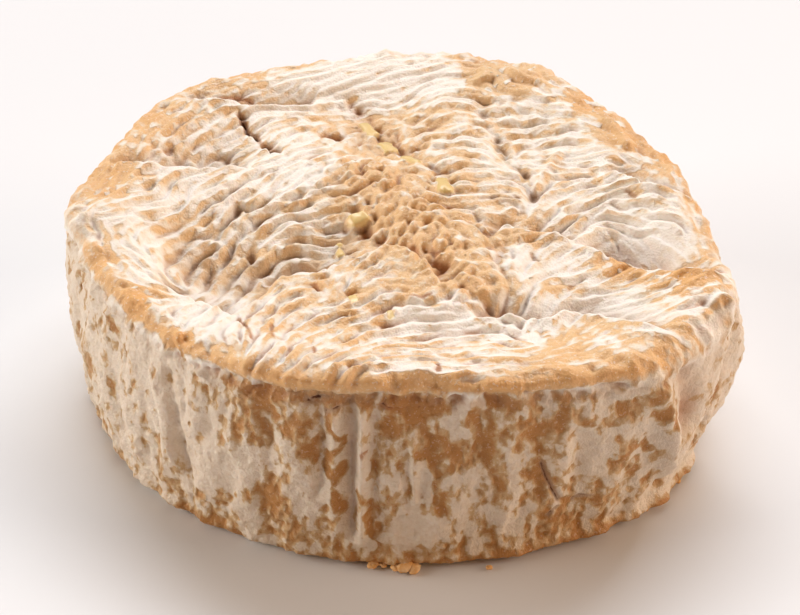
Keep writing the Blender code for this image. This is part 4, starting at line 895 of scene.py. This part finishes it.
    # Narrow valleys, cuts, cavities and cracks are painted darker: brown skin and painted shade together
    valley_brown_and_shade = smoothstep(0.36 + 0.16 * lumpy, 0.02, crest) * np.sqrt(strong)
    crease_brown_and_shade = np.clip(0.8 * cavity_shade + 0.20 * cut + (0.52 + 0.42 * lumpy) * valley_brown_and_shade, 0.0, 1.0) + torn
    relief += FINE_HEIGHT * (0.9 + 0.7 * strong) * rounded(fine)
    relief += FILM * (1 - smoothstep(0.40, 0.60, wear_and_shade))

    # Paste has welled up in smooth beads with uneven edges, and the rim is wrinkled.
    paste = np.zeros(x.shape)
    smooth_relief = blurred(relief, cell, 1.2)
    broken = 0.11 * noise(x.shape, cell, 2.8, FOLD_SEED + 24)
    for points, half_width, rise in PASTE.values():
        spot = swell(as_it_lies(points, BEAD_LEVEL), 1.0, half_width, x, y)
        bead = smoothstep(0.30, 0.70, spot + broken)
        relief += bead * (smooth_relief + rise - relief)
        paste = np.maximum(paste, bead)
    relief += RIM_WRINKLE * smoothstep(5.5, 2.0, rim_gap) * patches(x.shape, cell, 6.5, FOLD_SEED + 13)
    crease_brown_and_shade *= 1 - 0.8 * paste
    return {
        "relief": relief, "wear_and_shade": wear_and_shade, "warm": warm,
        "crease_brown_and_shade": crease_brown_and_shade, "paste": paste, "hollow_grey_and_shade": hollow_grey_and_shade,
    }


def wall_relief():
    """Height of the folds on the unrolled wall, and what colours them, by bearing and height."""
    columns, rows = WALL_CELLS
    cell = 2 * math.pi * WALL_ARC_RADIUS / columns
    arc = (np.arange(columns) + 0.5) * cell - math.pi * WALL_ARC_RADIUS
    z = (np.arange(rows) + 0.5) * WALL_SPAN / rows
    x, y = np.meshgrid(arc, z)
    bearing = np.degrees(x / WALL_ARC_RADIUS)
    direction, pitch, height, parallel = WALL_RIPPLE
    whole = np.ones(x.shape)
    relief = height * grow_folds(
        whole * math.radians(direction), whole * pitch, whole * parallel, WALL_PITCHES, cell, FOLD_SEED + 1
    )

    # Mould is worn off along the foot and in patches, some grown and some drawn.
    wear_and_shade = around(WALL_WORN, bearing) + 0.05 * noise(x.shape, cell, 17.0, FOLD_SEED + 18)
    wear_and_shade += 0.13 * patches(x.shape, cell, 4.8, FOLD_SEED + 9, WALL_STRETCH)
    wear_and_shade += 0.13 * patches(x.shape, cell, 1.5, FOLD_SEED + 20, WALL_STRETCH)
    wear_and_shade += 0.14 * smoothstep(2.5, 0.5, y)
    along = x + 0.9 * noise(x.shape, cell, 4.0, FOLD_SEED + 22)
    high = y + 0.9 * noise(x.shape, cell, 4.0, FOLD_SEED + 23)
    for at, level, half_width, half_height, more_bare in WALL_STAINS:
        across = (along - math.radians(at) * WALL_ARC_RADIUS) / half_width
        share = np.exp(-(across ** 2 + ((high - level) / half_height) ** 2) ** 1.5)
        wear_and_shade += more_bare * share

    # Furrows, folds and cracks, then lumps all over, the film of mould, and puckers near the rim
    for sign, folds in ((-1, WALL_FURROWS), (1, WALL_FOLDS)):
        for top_bearing, foot_bearing, depth, half_width, top, foot in folds:
            ends = ((top_bearing, top), (foot_bearing, foot))
            points = [(math.radians(at) * WALL_ARC_RADIUS, level) for at, level in ends]
            relief += sign * swell(points, depth, half_width, x, y)
    # Painted shade: the lower the wall's relief in its furrows and dips, the darker it is coloured
    crease_brown_and_shade = np.clip(-0.25 * relief, 0.0, 1.0)
    for places, depth, half_width in WALL_CRACKS:
        points = [(math.radians(at) * WALL_ARC_RADIUS, level) for at, level in places]
        crack = swell(points, depth, half_width, x, y)
        relief -= crack
        # Cracks are painted dark, brown skin and painted shade together
        crease_brown_and_shade += 1.8 * crack / depth
    small = wrinkles(x, y, cell, FOLD_SEED + 14)
    lumps = 0.8 * patches(x.shape, cell, 5.5, FOLD_SEED + 15, WALL_STRETCH) + 0.5 * small
    relief += WALL_LUMPS * lumps * (0.3 + 0.7 * smoothstep(0.5, 6.0, crest_height(bearing) - y))
    relief += WALL_FILM * (1 - smoothstep(0.42, 0.58, wear_and_shade))
    to_rim = smoothstep(6.0, 2.5, crest_height(bearing) - y)
    puckers = patches(x.shape, cell, 3.0, FOLD_SEED + 16, RIM_STRETCH)
    relief += RIM_WRINKLE * to_rim * puckers
    # Painted shade in the dips between the rim's puckers
    crease_brown_and_shade += 0.45 * to_rim * np.clip(-0.3 - puckers, 0.0, 1.4)
    warm = 0.25 + 0.10 * noise(x.shape, cell, 14.0, FOLD_SEED + 10)
    return {"relief": relief, "wear_and_shade": wear_and_shade, "warm": warm, "crease_brown_and_shade": crease_brown_and_shade}


def between(bearings, limits, fade=8.0):
    """1 between two bearings, fading to 0 outside them."""
    middle, half = (limits[0] + limits[1]) / 2, (limits[1] - limits[0]) / 2
    off = np.abs(np.mod(bearings - middle + 180.0, 360.0) - 180.0)
    return smoothstep(half + fade, half, off)


def disc_of_square(a, b):
    """Radius and bearing, in degrees, of a point of the square pressed into a disc."""
    radius = np.maximum(np.abs(a), np.abs(b))
    safe = np.maximum(radius, 1e-9)
    wide = np.abs(a) >= np.abs(b)
    turn = 45.0 * np.where(wide, b / safe * np.sign(a), -a / safe * np.sign(b))
    start = np.where(wide, np.where(a >= 0, 0.0, 180.0), np.where(b >= 0, 90.0, 270.0))
    return radius, start + turn


def top_points(share, bearing, top):
    """Places of points of the top, and their finish.

    Share is 0 at the centre and 1 halfway round the rim.
    """
    rim, rounding = around(RIM_RADIUS, bearing), around(RIM_ROUND, bearing)
    radius = share * (rim - rounding * (1 - math.sqrt(0.5)))
    lean = np.clip((radius - rim + rounding) / rounding, 0.0, 0.98)
    height = dish_height(radius, bearing) - rounding * (1 - np.sqrt(1 - lean ** 2))
    angle = np.radians(bearing)
    x, y = radius * np.cos(angle), radius * np.sin(angle)
    lift = read_top(top["relief"], x, y)
    out = lift * lean
    places = np.stack([
        x + out * np.cos(angle),
        y + out * np.sin(angle) - LEAN * lift * (1 - lean),
        height + lift * np.sqrt(1 - lean ** 2),
    ], axis=1)
    finish = {name: read_top(top[name], x, y) for name in ("wear_and_shade", "warm", "crease_brown_and_shade", "paste", "hollow_grey_and_shade")}
    onto_rim = smoothstep(2.2, 0.4, rim - radius)
    finish["wear_and_shade"] += onto_rim * (around(RIM_WORN, bearing) - finish["wear_and_shade"]) * RIM_HOLD
    finish["warm"] += onto_rim * (RIM_WARMTH - finish["warm"]) * RIM_WARMTH_HOLD
    finish["wall"] = np.zeros(len(share))
    return places, finish


def wall_points(share, bearing, top, wall):
    """Places of points of the wall, and their finish.

    Share is 0 at the underside's edge and 1 halfway round the rim.
    """
    rim, foot = around(RIM_RADIUS, bearing), around(FOOT_RADIUS, bearing)
    rounding, crest = around(RIM_ROUND, bearing), crest_height(bearing)
    foot_run = FOOT_ROUND * math.pi / 2
    wall_run = crest - rounding - FOOT_ROUND
    run = share * (foot_run + wall_run + rounding * math.pi / 4)
    foot_angle = np.clip(run / foot_run, 0.0, 1.0) * math.pi / 2
    up = np.clip((run - foot_run) / wall_run, 0.0, 1.0)
    rim_angle = np.clip((run - foot_run - wall_run) / rounding, 0.0, math.pi / 4)
    radius = foot + (rim - foot) * smoothstep(-0.2, 1.1, up)
    radius += around(WALL_BULGE, bearing) * np.sin(math.pi * up)
    radius -= FOOT_ROUND * (1 - np.sin(foot_angle)) + rounding * (1 - np.cos(rim_angle))
    height = FOOT_ROUND * (1 - np.cos(foot_angle)) + wall_run * up + rounding * np.sin(rim_angle)
    depth, below, half = UNDERCUT
    undercut = between(bearing, UNDERCUT_BEARINGS) * np.exp(-((crest - height - below) / half) ** 2)
    above, half = FOOT_LIP
    lip = around(FOOT_LIP_OUT, bearing) * np.exp(-((height - above) / half) ** 2)
    radius += lip - depth * undercut
    onto_rim = rim_angle / (math.pi / 4)
    angle = np.radians(bearing)
    x, y = radius * np.cos(angle), radius * np.sin(angle)
    turn = np.mod(bearing + 180.0, 360.0) - 180.0
    mixed = {}
    for name in ("relief", "wear_and_shade", "warm", "crease_brown_and_shade"):
        from_top, from_wall = read_top(top[name], x, y), read_wall(wall[name], turn, height)
        mixed[name] = from_top * onto_rim + from_wall * (1 - onto_rim)
    lift = mixed.pop("relief") * smoothstep(0.0, 1.0, foot_angle / (math.pi / 2))
    radius = radius + lift * np.cos(rim_angle)
    x, y = radius * np.cos(angle), radius * np.sin(angle)
    places = np.stack([x, y, height + lift * np.sin(rim_angle)], axis=1)
    near_rim = smoothstep(1.8, 0.4, crest - height)
    mixed["wear_and_shade"] += near_rim * (around(RIM_WORN, bearing) - mixed["wear_and_shade"]) * RIM_HOLD
    mixed["warm"] += near_rim * (RIM_WARMTH - mixed["warm"]) * RIM_WARMTH_HOLD
    mixed["wear_and_shade"] += 0.25 * lip
    # A painted shadow under the front lip: the band below the undercut is made barer and darker
    further, half = UNDERCUT_SHADE
    shade = between(bearing, UNDERCUT_BEARINGS) * np.exp(-((crest - height - below - further) / half) ** 2)
    mixed["wear_and_shade"] += 0.30 * shade
    mixed["crease_brown_and_shade"] += 0.25 * shade
    mixed["wall"] = (1.0 - onto_rim) * smoothstep(0.6, 3.2, crest - height)
    mixed["paste"] = np.zeros(len(share))
    mixed["hollow_grey_and_shade"] = np.zeros(len(share))
    return places, mixed


def wheel_mesh():
    """The whole wheel: a square grid pressed into a disc for the top, bands round it, the underside."""
    side = np.linspace(-1.0, 1.0, TOP_QUADS + 1)
    a, b = (grid.ravel() for grid in np.meshgrid(side, side, indexing="ij"))
    top, wall = top_relief(), wall_relief()
    share, bearing = disc_of_square(a, b)
    places, finish = top_points(share, bearing, top)
    n, line = TOP_QUADS, TOP_QUADS + 1
    i, j = (grid.ravel() for grid in np.meshgrid(np.arange(n), np.arange(n), indexing="ij"))
    corner = i * line + j
    faces = [np.stack([corner, corner + line, corner + line + 1, corner + 1], axis=1)]
    run = np.arange(n)
    edge = np.concatenate([n * line + run, (n - run) * line + n, n - run, run * line])
    around_count = len(edge)
    all_places, all_finish, upper = [places], [finish], edge
    start = len(places)
    edge_bearing = bearing[edge]
    for row in range(1, WALL_ROWS + 1):
        level = np.full(around_count, 1.0 - row / WALL_ROWS)
        ring_places, ring_finish = wall_points(level, edge_bearing, top, wall)
        all_places.append(ring_places)
        all_finish.append(ring_finish)
        lower = start + np.arange(around_count)
        faces.append(np.stack([upper, lower, np.roll(lower, -1), np.roll(upper, -1)], axis=1))
        upper, start = lower, start + around_count
    centre = start
    all_places.append(np.zeros((1, 3)))
    all_finish.append({name: values[:1] for name, values in ring_finish.items()})
    points = np.concatenate(all_places) * METRES
    quads = np.concatenate(faces)
    fan = np.stack([upper, np.full(around_count, centre), np.roll(upper, -1)], axis=1)
    mesh = bpy.data.meshes.new("fine_rind")
    mesh.from_pydata(points.tolist(), [], quads.tolist() + fan.tolist())
    for name in ("wear_and_shade", "warm", "crease_brown_and_shade", "wall", "paste", "hollow_grey_and_shade"):
        values = np.concatenate([finish[name] for finish in all_finish])
        layer = mesh.attributes.new(name, "FLOAT", "POINT")
        layer.data.foreach_set("value", values.astype(np.float32))
    return mesh


def thinned(mesh, triangles):
    """The mesh with fewer triangles, the most of them where it curves the most."""
    fine = bpy.data.objects.new("fine", mesh)
    bpy.context.scene.collection.objects.link(fine)
    thinning = fine.modifiers.new("thinning", "DECIMATE")
    thinning.ratio = triangles / sum(len(face.vertices) - 2 for face in mesh.polygons)
    thinning.use_collapse_triangulate = True
    thin = bpy.data.meshes.new_from_object(fine.evaluated_get(bpy.context.evaluated_depsgraph_get()))
    bpy.data.objects.remove(fine)
    thin.shade_smooth()
    return thin


wheel = bpy.data.objects.new("wheel_rind", thinned(wheel_mesh(), WHEEL_TRIANGLES))
bpy.context.scene.collection.objects.link(wheel)

# The rind's finish
# White mould grew over a tan skin. It is worn through on the crests and in patches on the wall, and
# the bare skin is orange on the rim. Creases and cracks are painted darker, brown skin and painted
# shade together, hollows are greyed, grey mould and painted shade together, and the wall's mould and
# skin are darker, warmer copies that hold painted shade. Paste shows pale yellow in the splits.


class Shade:
    """One output of a shader node. Sums, products and the like of it add Math nodes."""

    tree = None

    def __init__(self, socket):
        self.socket = socket

    @classmethod
    def node(cls, kind, settings, sockets, output=0):
        """Adds a node, sets it up, then gives its sockets values or links."""
        made = cls.tree.nodes.new(kind)
        for name, value in settings.items():
            setattr(made, name, value)
        for name, value in sockets.items():
            if isinstance(value, Shade):
                cls.tree.links.new(value.socket, made.inputs[name])
            else:
                made.inputs[name].default_value = value
        return cls(made.outputs[output])

    def maths(self, operation, *others):
        values = {i: value for i, value in enumerate((self, *others))}
        return Shade.node("ShaderNodeMath", {"operation": operation}, values)

    def __add__(self, other):
        return self.maths("ADD", other)

    __radd__ = __add__

    def __sub__(self, other):
        return self.maths("SUBTRACT", other)

    def __rsub__(self, other):
        return Shade.node("ShaderNodeMath", {"operation": "SUBTRACT"}, {0: other, 1: self})

    def __mul__(self, other):
        return self.maths("MULTIPLY", other)

    __rmul__ = __mul__

    def smooth(self, low, high):
        """0 below low, 1 above high, and a soft step between them."""
        settings = {"interpolation_type": "SMOOTHSTEP"}
        return Shade.node("ShaderNodeMapRange", settings, {"Value": self, "From Min": low, "From Max": high})

    def mix(self, first, second):
        """The first colour where this is 0 and the second where it is 1."""
        sockets = {"Factor": self, 6: first, 7: second}
        return Shade.node("ShaderNodeMix", {"data_type": "RGBA"}, sockets, 2)


def colour(red, green, blue):
    """A colour as a screen shows it, turned into the light that a shader takes."""
    shown = (red, green, blue)
    return tuple(((c + 0.055) / 1.055) ** 2.4 if c > 0.04045 else c / 12.92 for c in shown) + (1.0,)


def attribute(name):
    return Shade.node("ShaderNodeAttribute", {"attribute_name": name}, {}, 2)


def grain(vector, size, detail=3.0, roughness=0.55):
    """Fractal noise whose bumps are about this many millimetres wide."""
    sockets = {"Vector": vector, "Scale": 1 / (size * METRES), "Detail": detail, "Roughness": roughness}
    return Shade.node("ShaderNodeTexNoise", {}, sockets)


def new_material(name, **sockets):
    """A material whose nodes the next lines add, and its surface shader."""
    material = bpy.data.materials.new(name)
    material.use_nodes = True
    Shade.tree = material.node_tree
    surface = material.node_tree.nodes["Principled BSDF"]
    for socket, value in sockets.items():
        surface.inputs[socket.replace("_", " ")].default_value = value
    return material, surface


THICK_MOULD = colour(0.97, 0.945, 0.91)
THIN_MOULD = colour(0.91, 0.84, 0.74)
# Mould in hollows: grey mould and painted shade together
SHADED_GREY_MOULD = colour(0.76, 0.68, 0.61)
PALE_SKIN = colour(0.92, 0.785, 0.60)
ORANGE_SKIN = colour(0.90, 0.68, 0.405)
DARK_SKIN = colour(0.73, 0.52, 0.30)
# The wall's skin and mould: darker, warmer copies, partly their own colour and partly painted shade
WALL_SKIN_AND_SHADE = colour(0.70, 0.48, 0.21)
WALL_MOULD_AND_SHADE = colour(0.81, 0.69, 0.52)
YELLOW_PASTE = colour(0.89, 0.785, 0.55)
# Creases and cracks: grey painted shade over the mould, and brown skin with painted shade where it is bare
GREY_CREASE_SHADE = colour(0.74, 0.62, 0.51)
BROWN_CREASE_AND_SHADE = colour(0.70, 0.44, 0.21)
CRACK_BROWN_AND_SHADE = colour(0.42, 0.24, 0.12)

rind, surface = new_material("mould_over_skin", Subsurface_Weight=0.10, Subsurface_Scale=0.0011)
surface.inputs["Subsurface Radius"].default_value = (1.0, 0.55, 0.30)
where = Shade.node("ShaderNodeTexCoord", {}, {}, 3)

# Where the mould is thin, and where the skin shows: worn through, and on front-facing slopes and under the
# front lip as painted shade as well
on_wall = attribute("wall")
warmth = attribute("warm")
crease_brown_and_shade = attribute("crease_brown_and_shade")
upright = Shade.node("ShaderNodeVectorMath", {"operation": "MULTIPLY"}, {0: where, 1: (1.0, 1.0, 0.5)})
ragged_wall = grain(upright, 2.0, 6.0, 0.72) - 0.5
ragged = (grain(where, 2.4, 5.0, 0.62) - 0.5) * (1.0 - on_wall) + ragged_wall * on_wall
specks = grain(where, 0.8, 4.0, 0.65) - 0.5
wear_and_shade = attribute("wear_and_shade") + ragged * (0.20 + on_wall * 0.25) + specks * (0.22 + on_wall * 0.18)
bare = ((wear_and_shade - 0.5) * (5.2 - on_wall * 2.2) + 0.5).smooth(0.0, 1.0)
film = wear_and_shade.smooth(0.22, 0.55)

# The bare skin and the mould, with darker, warmer copies on the wall that hold painted shade
# On the wall the skin is more orange and darker: partly its own colour and partly painted shade
skin_tone = (warmth + on_wall * 0.25 + (grain(where, 6.0) - 0.5) * 0.7).smooth(0.15, 1.0)
skin = (on_wall * 0.92).mix(skin_tone.mix(PALE_SKIN, ORANGE_SKIN), WALL_SKIN_AND_SHADE)
mottle = (grain(where, 0.7, 4.0, 0.7) - 0.5) * 1.2
# Dark mottling of the skin, more of it on the wall, where it adds painted shade
skin = (mottle + 0.16 + on_wall * 0.24).smooth(0.0, 1.0).mix(skin, DARK_SKIN)
flecks = grain(where, 0.5, 2.0, 0.5).smooth(0.60, 0.68) * (0.40 - on_wall * 0.20)
skin = flecks.mix(skin, THICK_MOULD)
# On the wall the thin mould is a darker, warmer copy and covers more, partly painted shade
thin = on_wall.mix(THIN_MOULD, WALL_MOULD_AND_SHADE)
mould = (film + on_wall * 0.45 + mottle * 0.5).mix(THICK_MOULD, thin)
coat = bare.mix(mould, skin)

# Creases and cracks painted darker, brown skin and painted shade together; hollows greyed, grey
# mould and painted shade together; and paste
crease_shade_tone = warmth.smooth(0.15, 0.45).mix(GREY_CREASE_SHADE, BROWN_CREASE_AND_SHADE)
crease_shade_amount = crease_brown_and_shade.smooth(0.05, 0.85) * 0.85
# Hollows greyed: grey mould and painted shade together
coat = (attribute("hollow_grey_and_shade") * 0.40).mix(coat, SHADED_GREY_MOULD)
rind_tone = crease_brown_and_shade.smooth(1.05, 1.6).mix(crease_shade_amount.mix(coat, crease_shade_tone), CRACK_BROWN_AND_SHADE)
paste = attribute("paste").smooth(0.2, 0.8)
final = paste.mix(rind_tone, YELLOW_PASTE)
Shade.tree.links.new(final.socket, surface.inputs["Base Color"])

# Moist skin and paste shine a little, and the mould is a fine fuzz.
roughness = 0.46 - 0.06 * bare + mottle * 0.12 - paste * 0.22
Shade.tree.links.new(roughness.socket, surface.inputs["Roughness"])
fluff = grain(where, 0.35, 3.0, 0.6)
relief = (1.0 - bare) * 0.22 + specks * (0.25 + on_wall * 0.25) + fluff * 0.22 + mottle * 0.05
relief = relief * (1.0 - paste * 0.8)
bump = Shade.node("ShaderNodeBump", {}, {"Height": relief, "Distance": METRES, "Strength": 0.8})
Shade.tree.links.new(bump.socket, surface.inputs["Normal"])
wheel.data.materials.append(rind)

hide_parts("wheel")
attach(wheel, "root")

# The crumbs
# Flakes of rind that broke off where the wheel was set down and turned, and lie against its foot.
# Each is a knobbly lump of dried skin pressed flat, and all of them are one piece.

CRUMBS = [                 # x, y and half width
    (0.9, -53.6, 1.7), (2.3, -53.9, 1.3), (-0.3, -53.2, 1.2), (-4.0, -52.9, 1.0), (-2.6, -52.7, 0.9),
    (13.7, -53.4, 0.5), (38.8, -39.0, 1.1), (41.0, -36.9, 1.5), (42.2, -35.6, 1.1), (45.0, -32.0, 0.9),
]
CRUMB_FLATNESS = 0.38      # height of a crumb by its width
CRUMB_DEPTH = 0.7          # its size from front to back by its width
CRUMB_KNOBS = 1.5          # height of its knobs
CRUMB_TILT = 0.15          # how far it may lean, in radians
CRUMB_SEED = 4

places = bpy.data.meshes.new("crumb_places")
places.from_pydata([(x * METRES, y * METRES, CRUMB_FLATNESS * r * METRES) for x, y, r in CRUMBS], [], [])
sizes = places.attributes.new("size", "FLOAT", "POINT")
sizes.data.foreach_set("value", [r * METRES for _, _, r in CRUMBS])
strewn = bpy.data.objects.new("crumbs_to_strew", places)
bpy.context.scene.collection.objects.link(strewn)
tree = bpy.data.node_groups.new("strew_crumbs", "GeometryNodeTree")
tree.interface.new_socket("Geometry", in_out="INPUT", socket_type="NodeSocketGeometry")
flatness = tree.interface.new_socket("Flatness", in_out="INPUT", socket_type="NodeSocketFloat")
knobs = tree.interface.new_socket("Knobs", in_out="INPUT", socket_type="NodeSocketFloat")
seed = tree.interface.new_socket("Seed", in_out="INPUT", socket_type="NodeSocketInt")
tree.interface.new_socket("Geometry", in_out="OUTPUT", socket_type="NodeSocketGeometry")

crumb_skin, surface = new_material("dry_crumb", Roughness=0.6)
where = Shade.node("ShaderNodeTexCoord", {}, {}, 3)
patchy = grain(where, 1.2, 4.0, 0.6).smooth(0.35, 0.65).mix(PALE_SKIN, ORANGE_SKIN)
Shade.tree.links.new(patchy.socket, surface.inputs["Base Color"])

Shade.tree = tree
given = tree.nodes.new("NodeGroupInput")
size = Shade.node("GeometryNodeInputNamedAttribute", {"data_type": "FLOAT"}, {"Name": "size"})
flat = Shade.node("ShaderNodeCombineXYZ", {}, {
    "X": 1.0, "Y": CRUMB_DEPTH, "Z": Shade(given.outputs["Flatness"]),
})
scale = Shade.node("ShaderNodeVectorMath", {"operation": "SCALE"}, {0: flat, "Scale": size})
most_turned = (CRUMB_TILT, CRUMB_TILT, 2 * math.pi)
turns = {0: (0.0, 0.0, 0.0), 1: most_turned, "Seed": Shade(given.outputs["Seed"])}
turn = Shade.node("FunctionNodeRandomValue", {"data_type": "FLOAT_VECTOR"}, turns)
lump = Shade.node("GeometryNodeMeshIcoSphere", {}, {"Radius": 1.0, "Subdivisions": 4})
laid = Shade.node("GeometryNodeInstanceOnPoints", {}, {
    "Points": Shade(given.outputs["Geometry"]), "Instance": lump, "Rotation": turn, "Scale": scale,
})
solid = Shade.node("GeometryNodeRealizeInstances", {}, {"Geometry": laid})
height = (grain(Shade.node("GeometryNodeInputPosition", {}, {}), 1.2) - 0.5) * Shade(given.outputs["Knobs"])
outwards = Shade.node("GeometryNodeInputNormal", {}, {})
offset = Shade.node("ShaderNodeVectorMath", {"operation": "SCALE"}, {0: outwards, "Scale": height})
knobbly = Shade.node("GeometryNodeSetPosition", {}, {"Geometry": solid, "Offset": offset})
coated = Shade.node("GeometryNodeSetMaterial", {}, {"Geometry": knobbly, "Material": crumb_skin})
tree.links.new(coated.socket, tree.nodes.new("NodeGroupOutput").inputs[0])

strewing = strewn.modifiers.new("strew_crumbs", "NODES")
strewing.node_group = tree
strewing[flatness.identifier] = CRUMB_FLATNESS
strewing[knobs.identifier] = CRUMB_KNOBS * METRES
strewing[seed.identifier] = CRUMB_SEED
crumb_mesh = bpy.data.meshes.new_from_object(strewn.evaluated_get(bpy.context.evaluated_depsgraph_get()))
bpy.data.objects.remove(strewn)
for vertex in crumb_mesh.vertices:
    vertex.co.z = max(vertex.co.z, 0.0)
crumb_mesh.shade_smooth()
crumbs = bpy.data.objects.new("crumbs", crumb_mesh)
bpy.context.scene.collection.objects.link(crumbs)
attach(crumbs, "root")

# The table, the light and the camera
# A smooth white table under a large soft window light from high up behind the wheel. Three smaller
# and warmer reflectors stand low at the left, the right and the front right, and a little warm light
# comes from all round. The camera looks down from in front, from about three wheel widths away.

TABLE_HALF = 4.0           # half of its side, in metres, as all lengths of this section
TABLE_WHITE = colour(0.875, 0.885, 0.90)
TABLE_GAP = 0.0002         # how far it lies below the underside, so that the two don't coincide
table_mesh = bpy.data.meshes.new("table")
corners = [(x * TABLE_HALF, y * TABLE_HALF, -TABLE_GAP) for x, y in ((-1, -1), (1, -1), (1, 1), (-1, 1))]
table_mesh.from_pydata(corners, [], [(0, 1, 2, 3)])
table = bpy.data.objects.new("table", table_mesh)
bpy.context.scene.collection.objects.link(table)
tabletop, surface = new_material("white_table", Roughness=0.5)
surface.inputs["Base Color"].default_value = TABLE_WHITE
table_mesh.materials.append(tabletop)


def soft_light(name, place, size, power, tint):
    """A flat light of this size and power, aimed at the wheel."""
    data = bpy.data.lights.new(name, "AREA")
    data.shape = "RECTANGLE"
    data.size, data.size_y = size
    data.energy = power
    data.color = tint
    light = bpy.data.objects.new(name, data)
    light.location = place
    light.rotation_euler = (-Vector(place)).to_track_quat("-Z", "Y").to_euler()
    bpy.context.scene.collection.objects.link(light)


soft_light("window", (0.40, 2.90, 3.70), (4.8, 1.6), 235.0, (0.98, 1.00, 1.03))
soft_light("left_reflector", (-1.80, 0.05, 0.62), (1.2, 0.9), 29.0, (1.0, 0.91, 0.82))
soft_light("right_reflector", (1.72, 0.05, 0.66), (1.2, 0.9), 21.0, (1.0, 0.78, 0.60))
soft_light("front_reflector", (0.95, -1.50, 0.45), (0.8, 0.6), 4.2, (1.0, 0.62, 0.36))

ROOM_TINT = (1.0, 0.61, 0.385, 1.0)
ROOM_STRENGTH = 0.125
world = bpy.data.worlds.new("pale_room")
world.use_nodes = True
world.node_tree.nodes["Background"].inputs["Color"].default_value = ROOM_TINT
world.node_tree.nodes["Background"].inputs["Strength"].default_value = ROOM_STRENGTH
bpy.context.scene.world = world
bpy.context.scene.view_settings.view_transform = "Standard"

CAMERA_ELEVATION = 32.98   # degrees above the table
CAMERA_DISTANCE = 0.3429   # from the point it aims at
AIM_HEIGHT = 0.01615       # height of that point above the table
AIM_BELOW = 0.48           # degrees by which the middle of the picture lies below that aim
camera_data = bpy.data.cameras.new("camera")
camera_data.lens = 90.0
camera_data.sensor_width = 36.0
camera = bpy.data.objects.new("camera", camera_data)
lift = math.radians(CAMERA_ELEVATION)
away, above = CAMERA_DISTANCE * math.cos(lift), CAMERA_DISTANCE * math.sin(lift)
camera.location = (0.0, -away, AIM_HEIGHT + above)
camera.rotation_euler = (math.radians(90.0 - CAMERA_ELEVATION - AIM_BELOW), 0.0, 0.0)
bpy.context.scene.collection.objects.link(camera)
bpy.context.scene.camera = camera
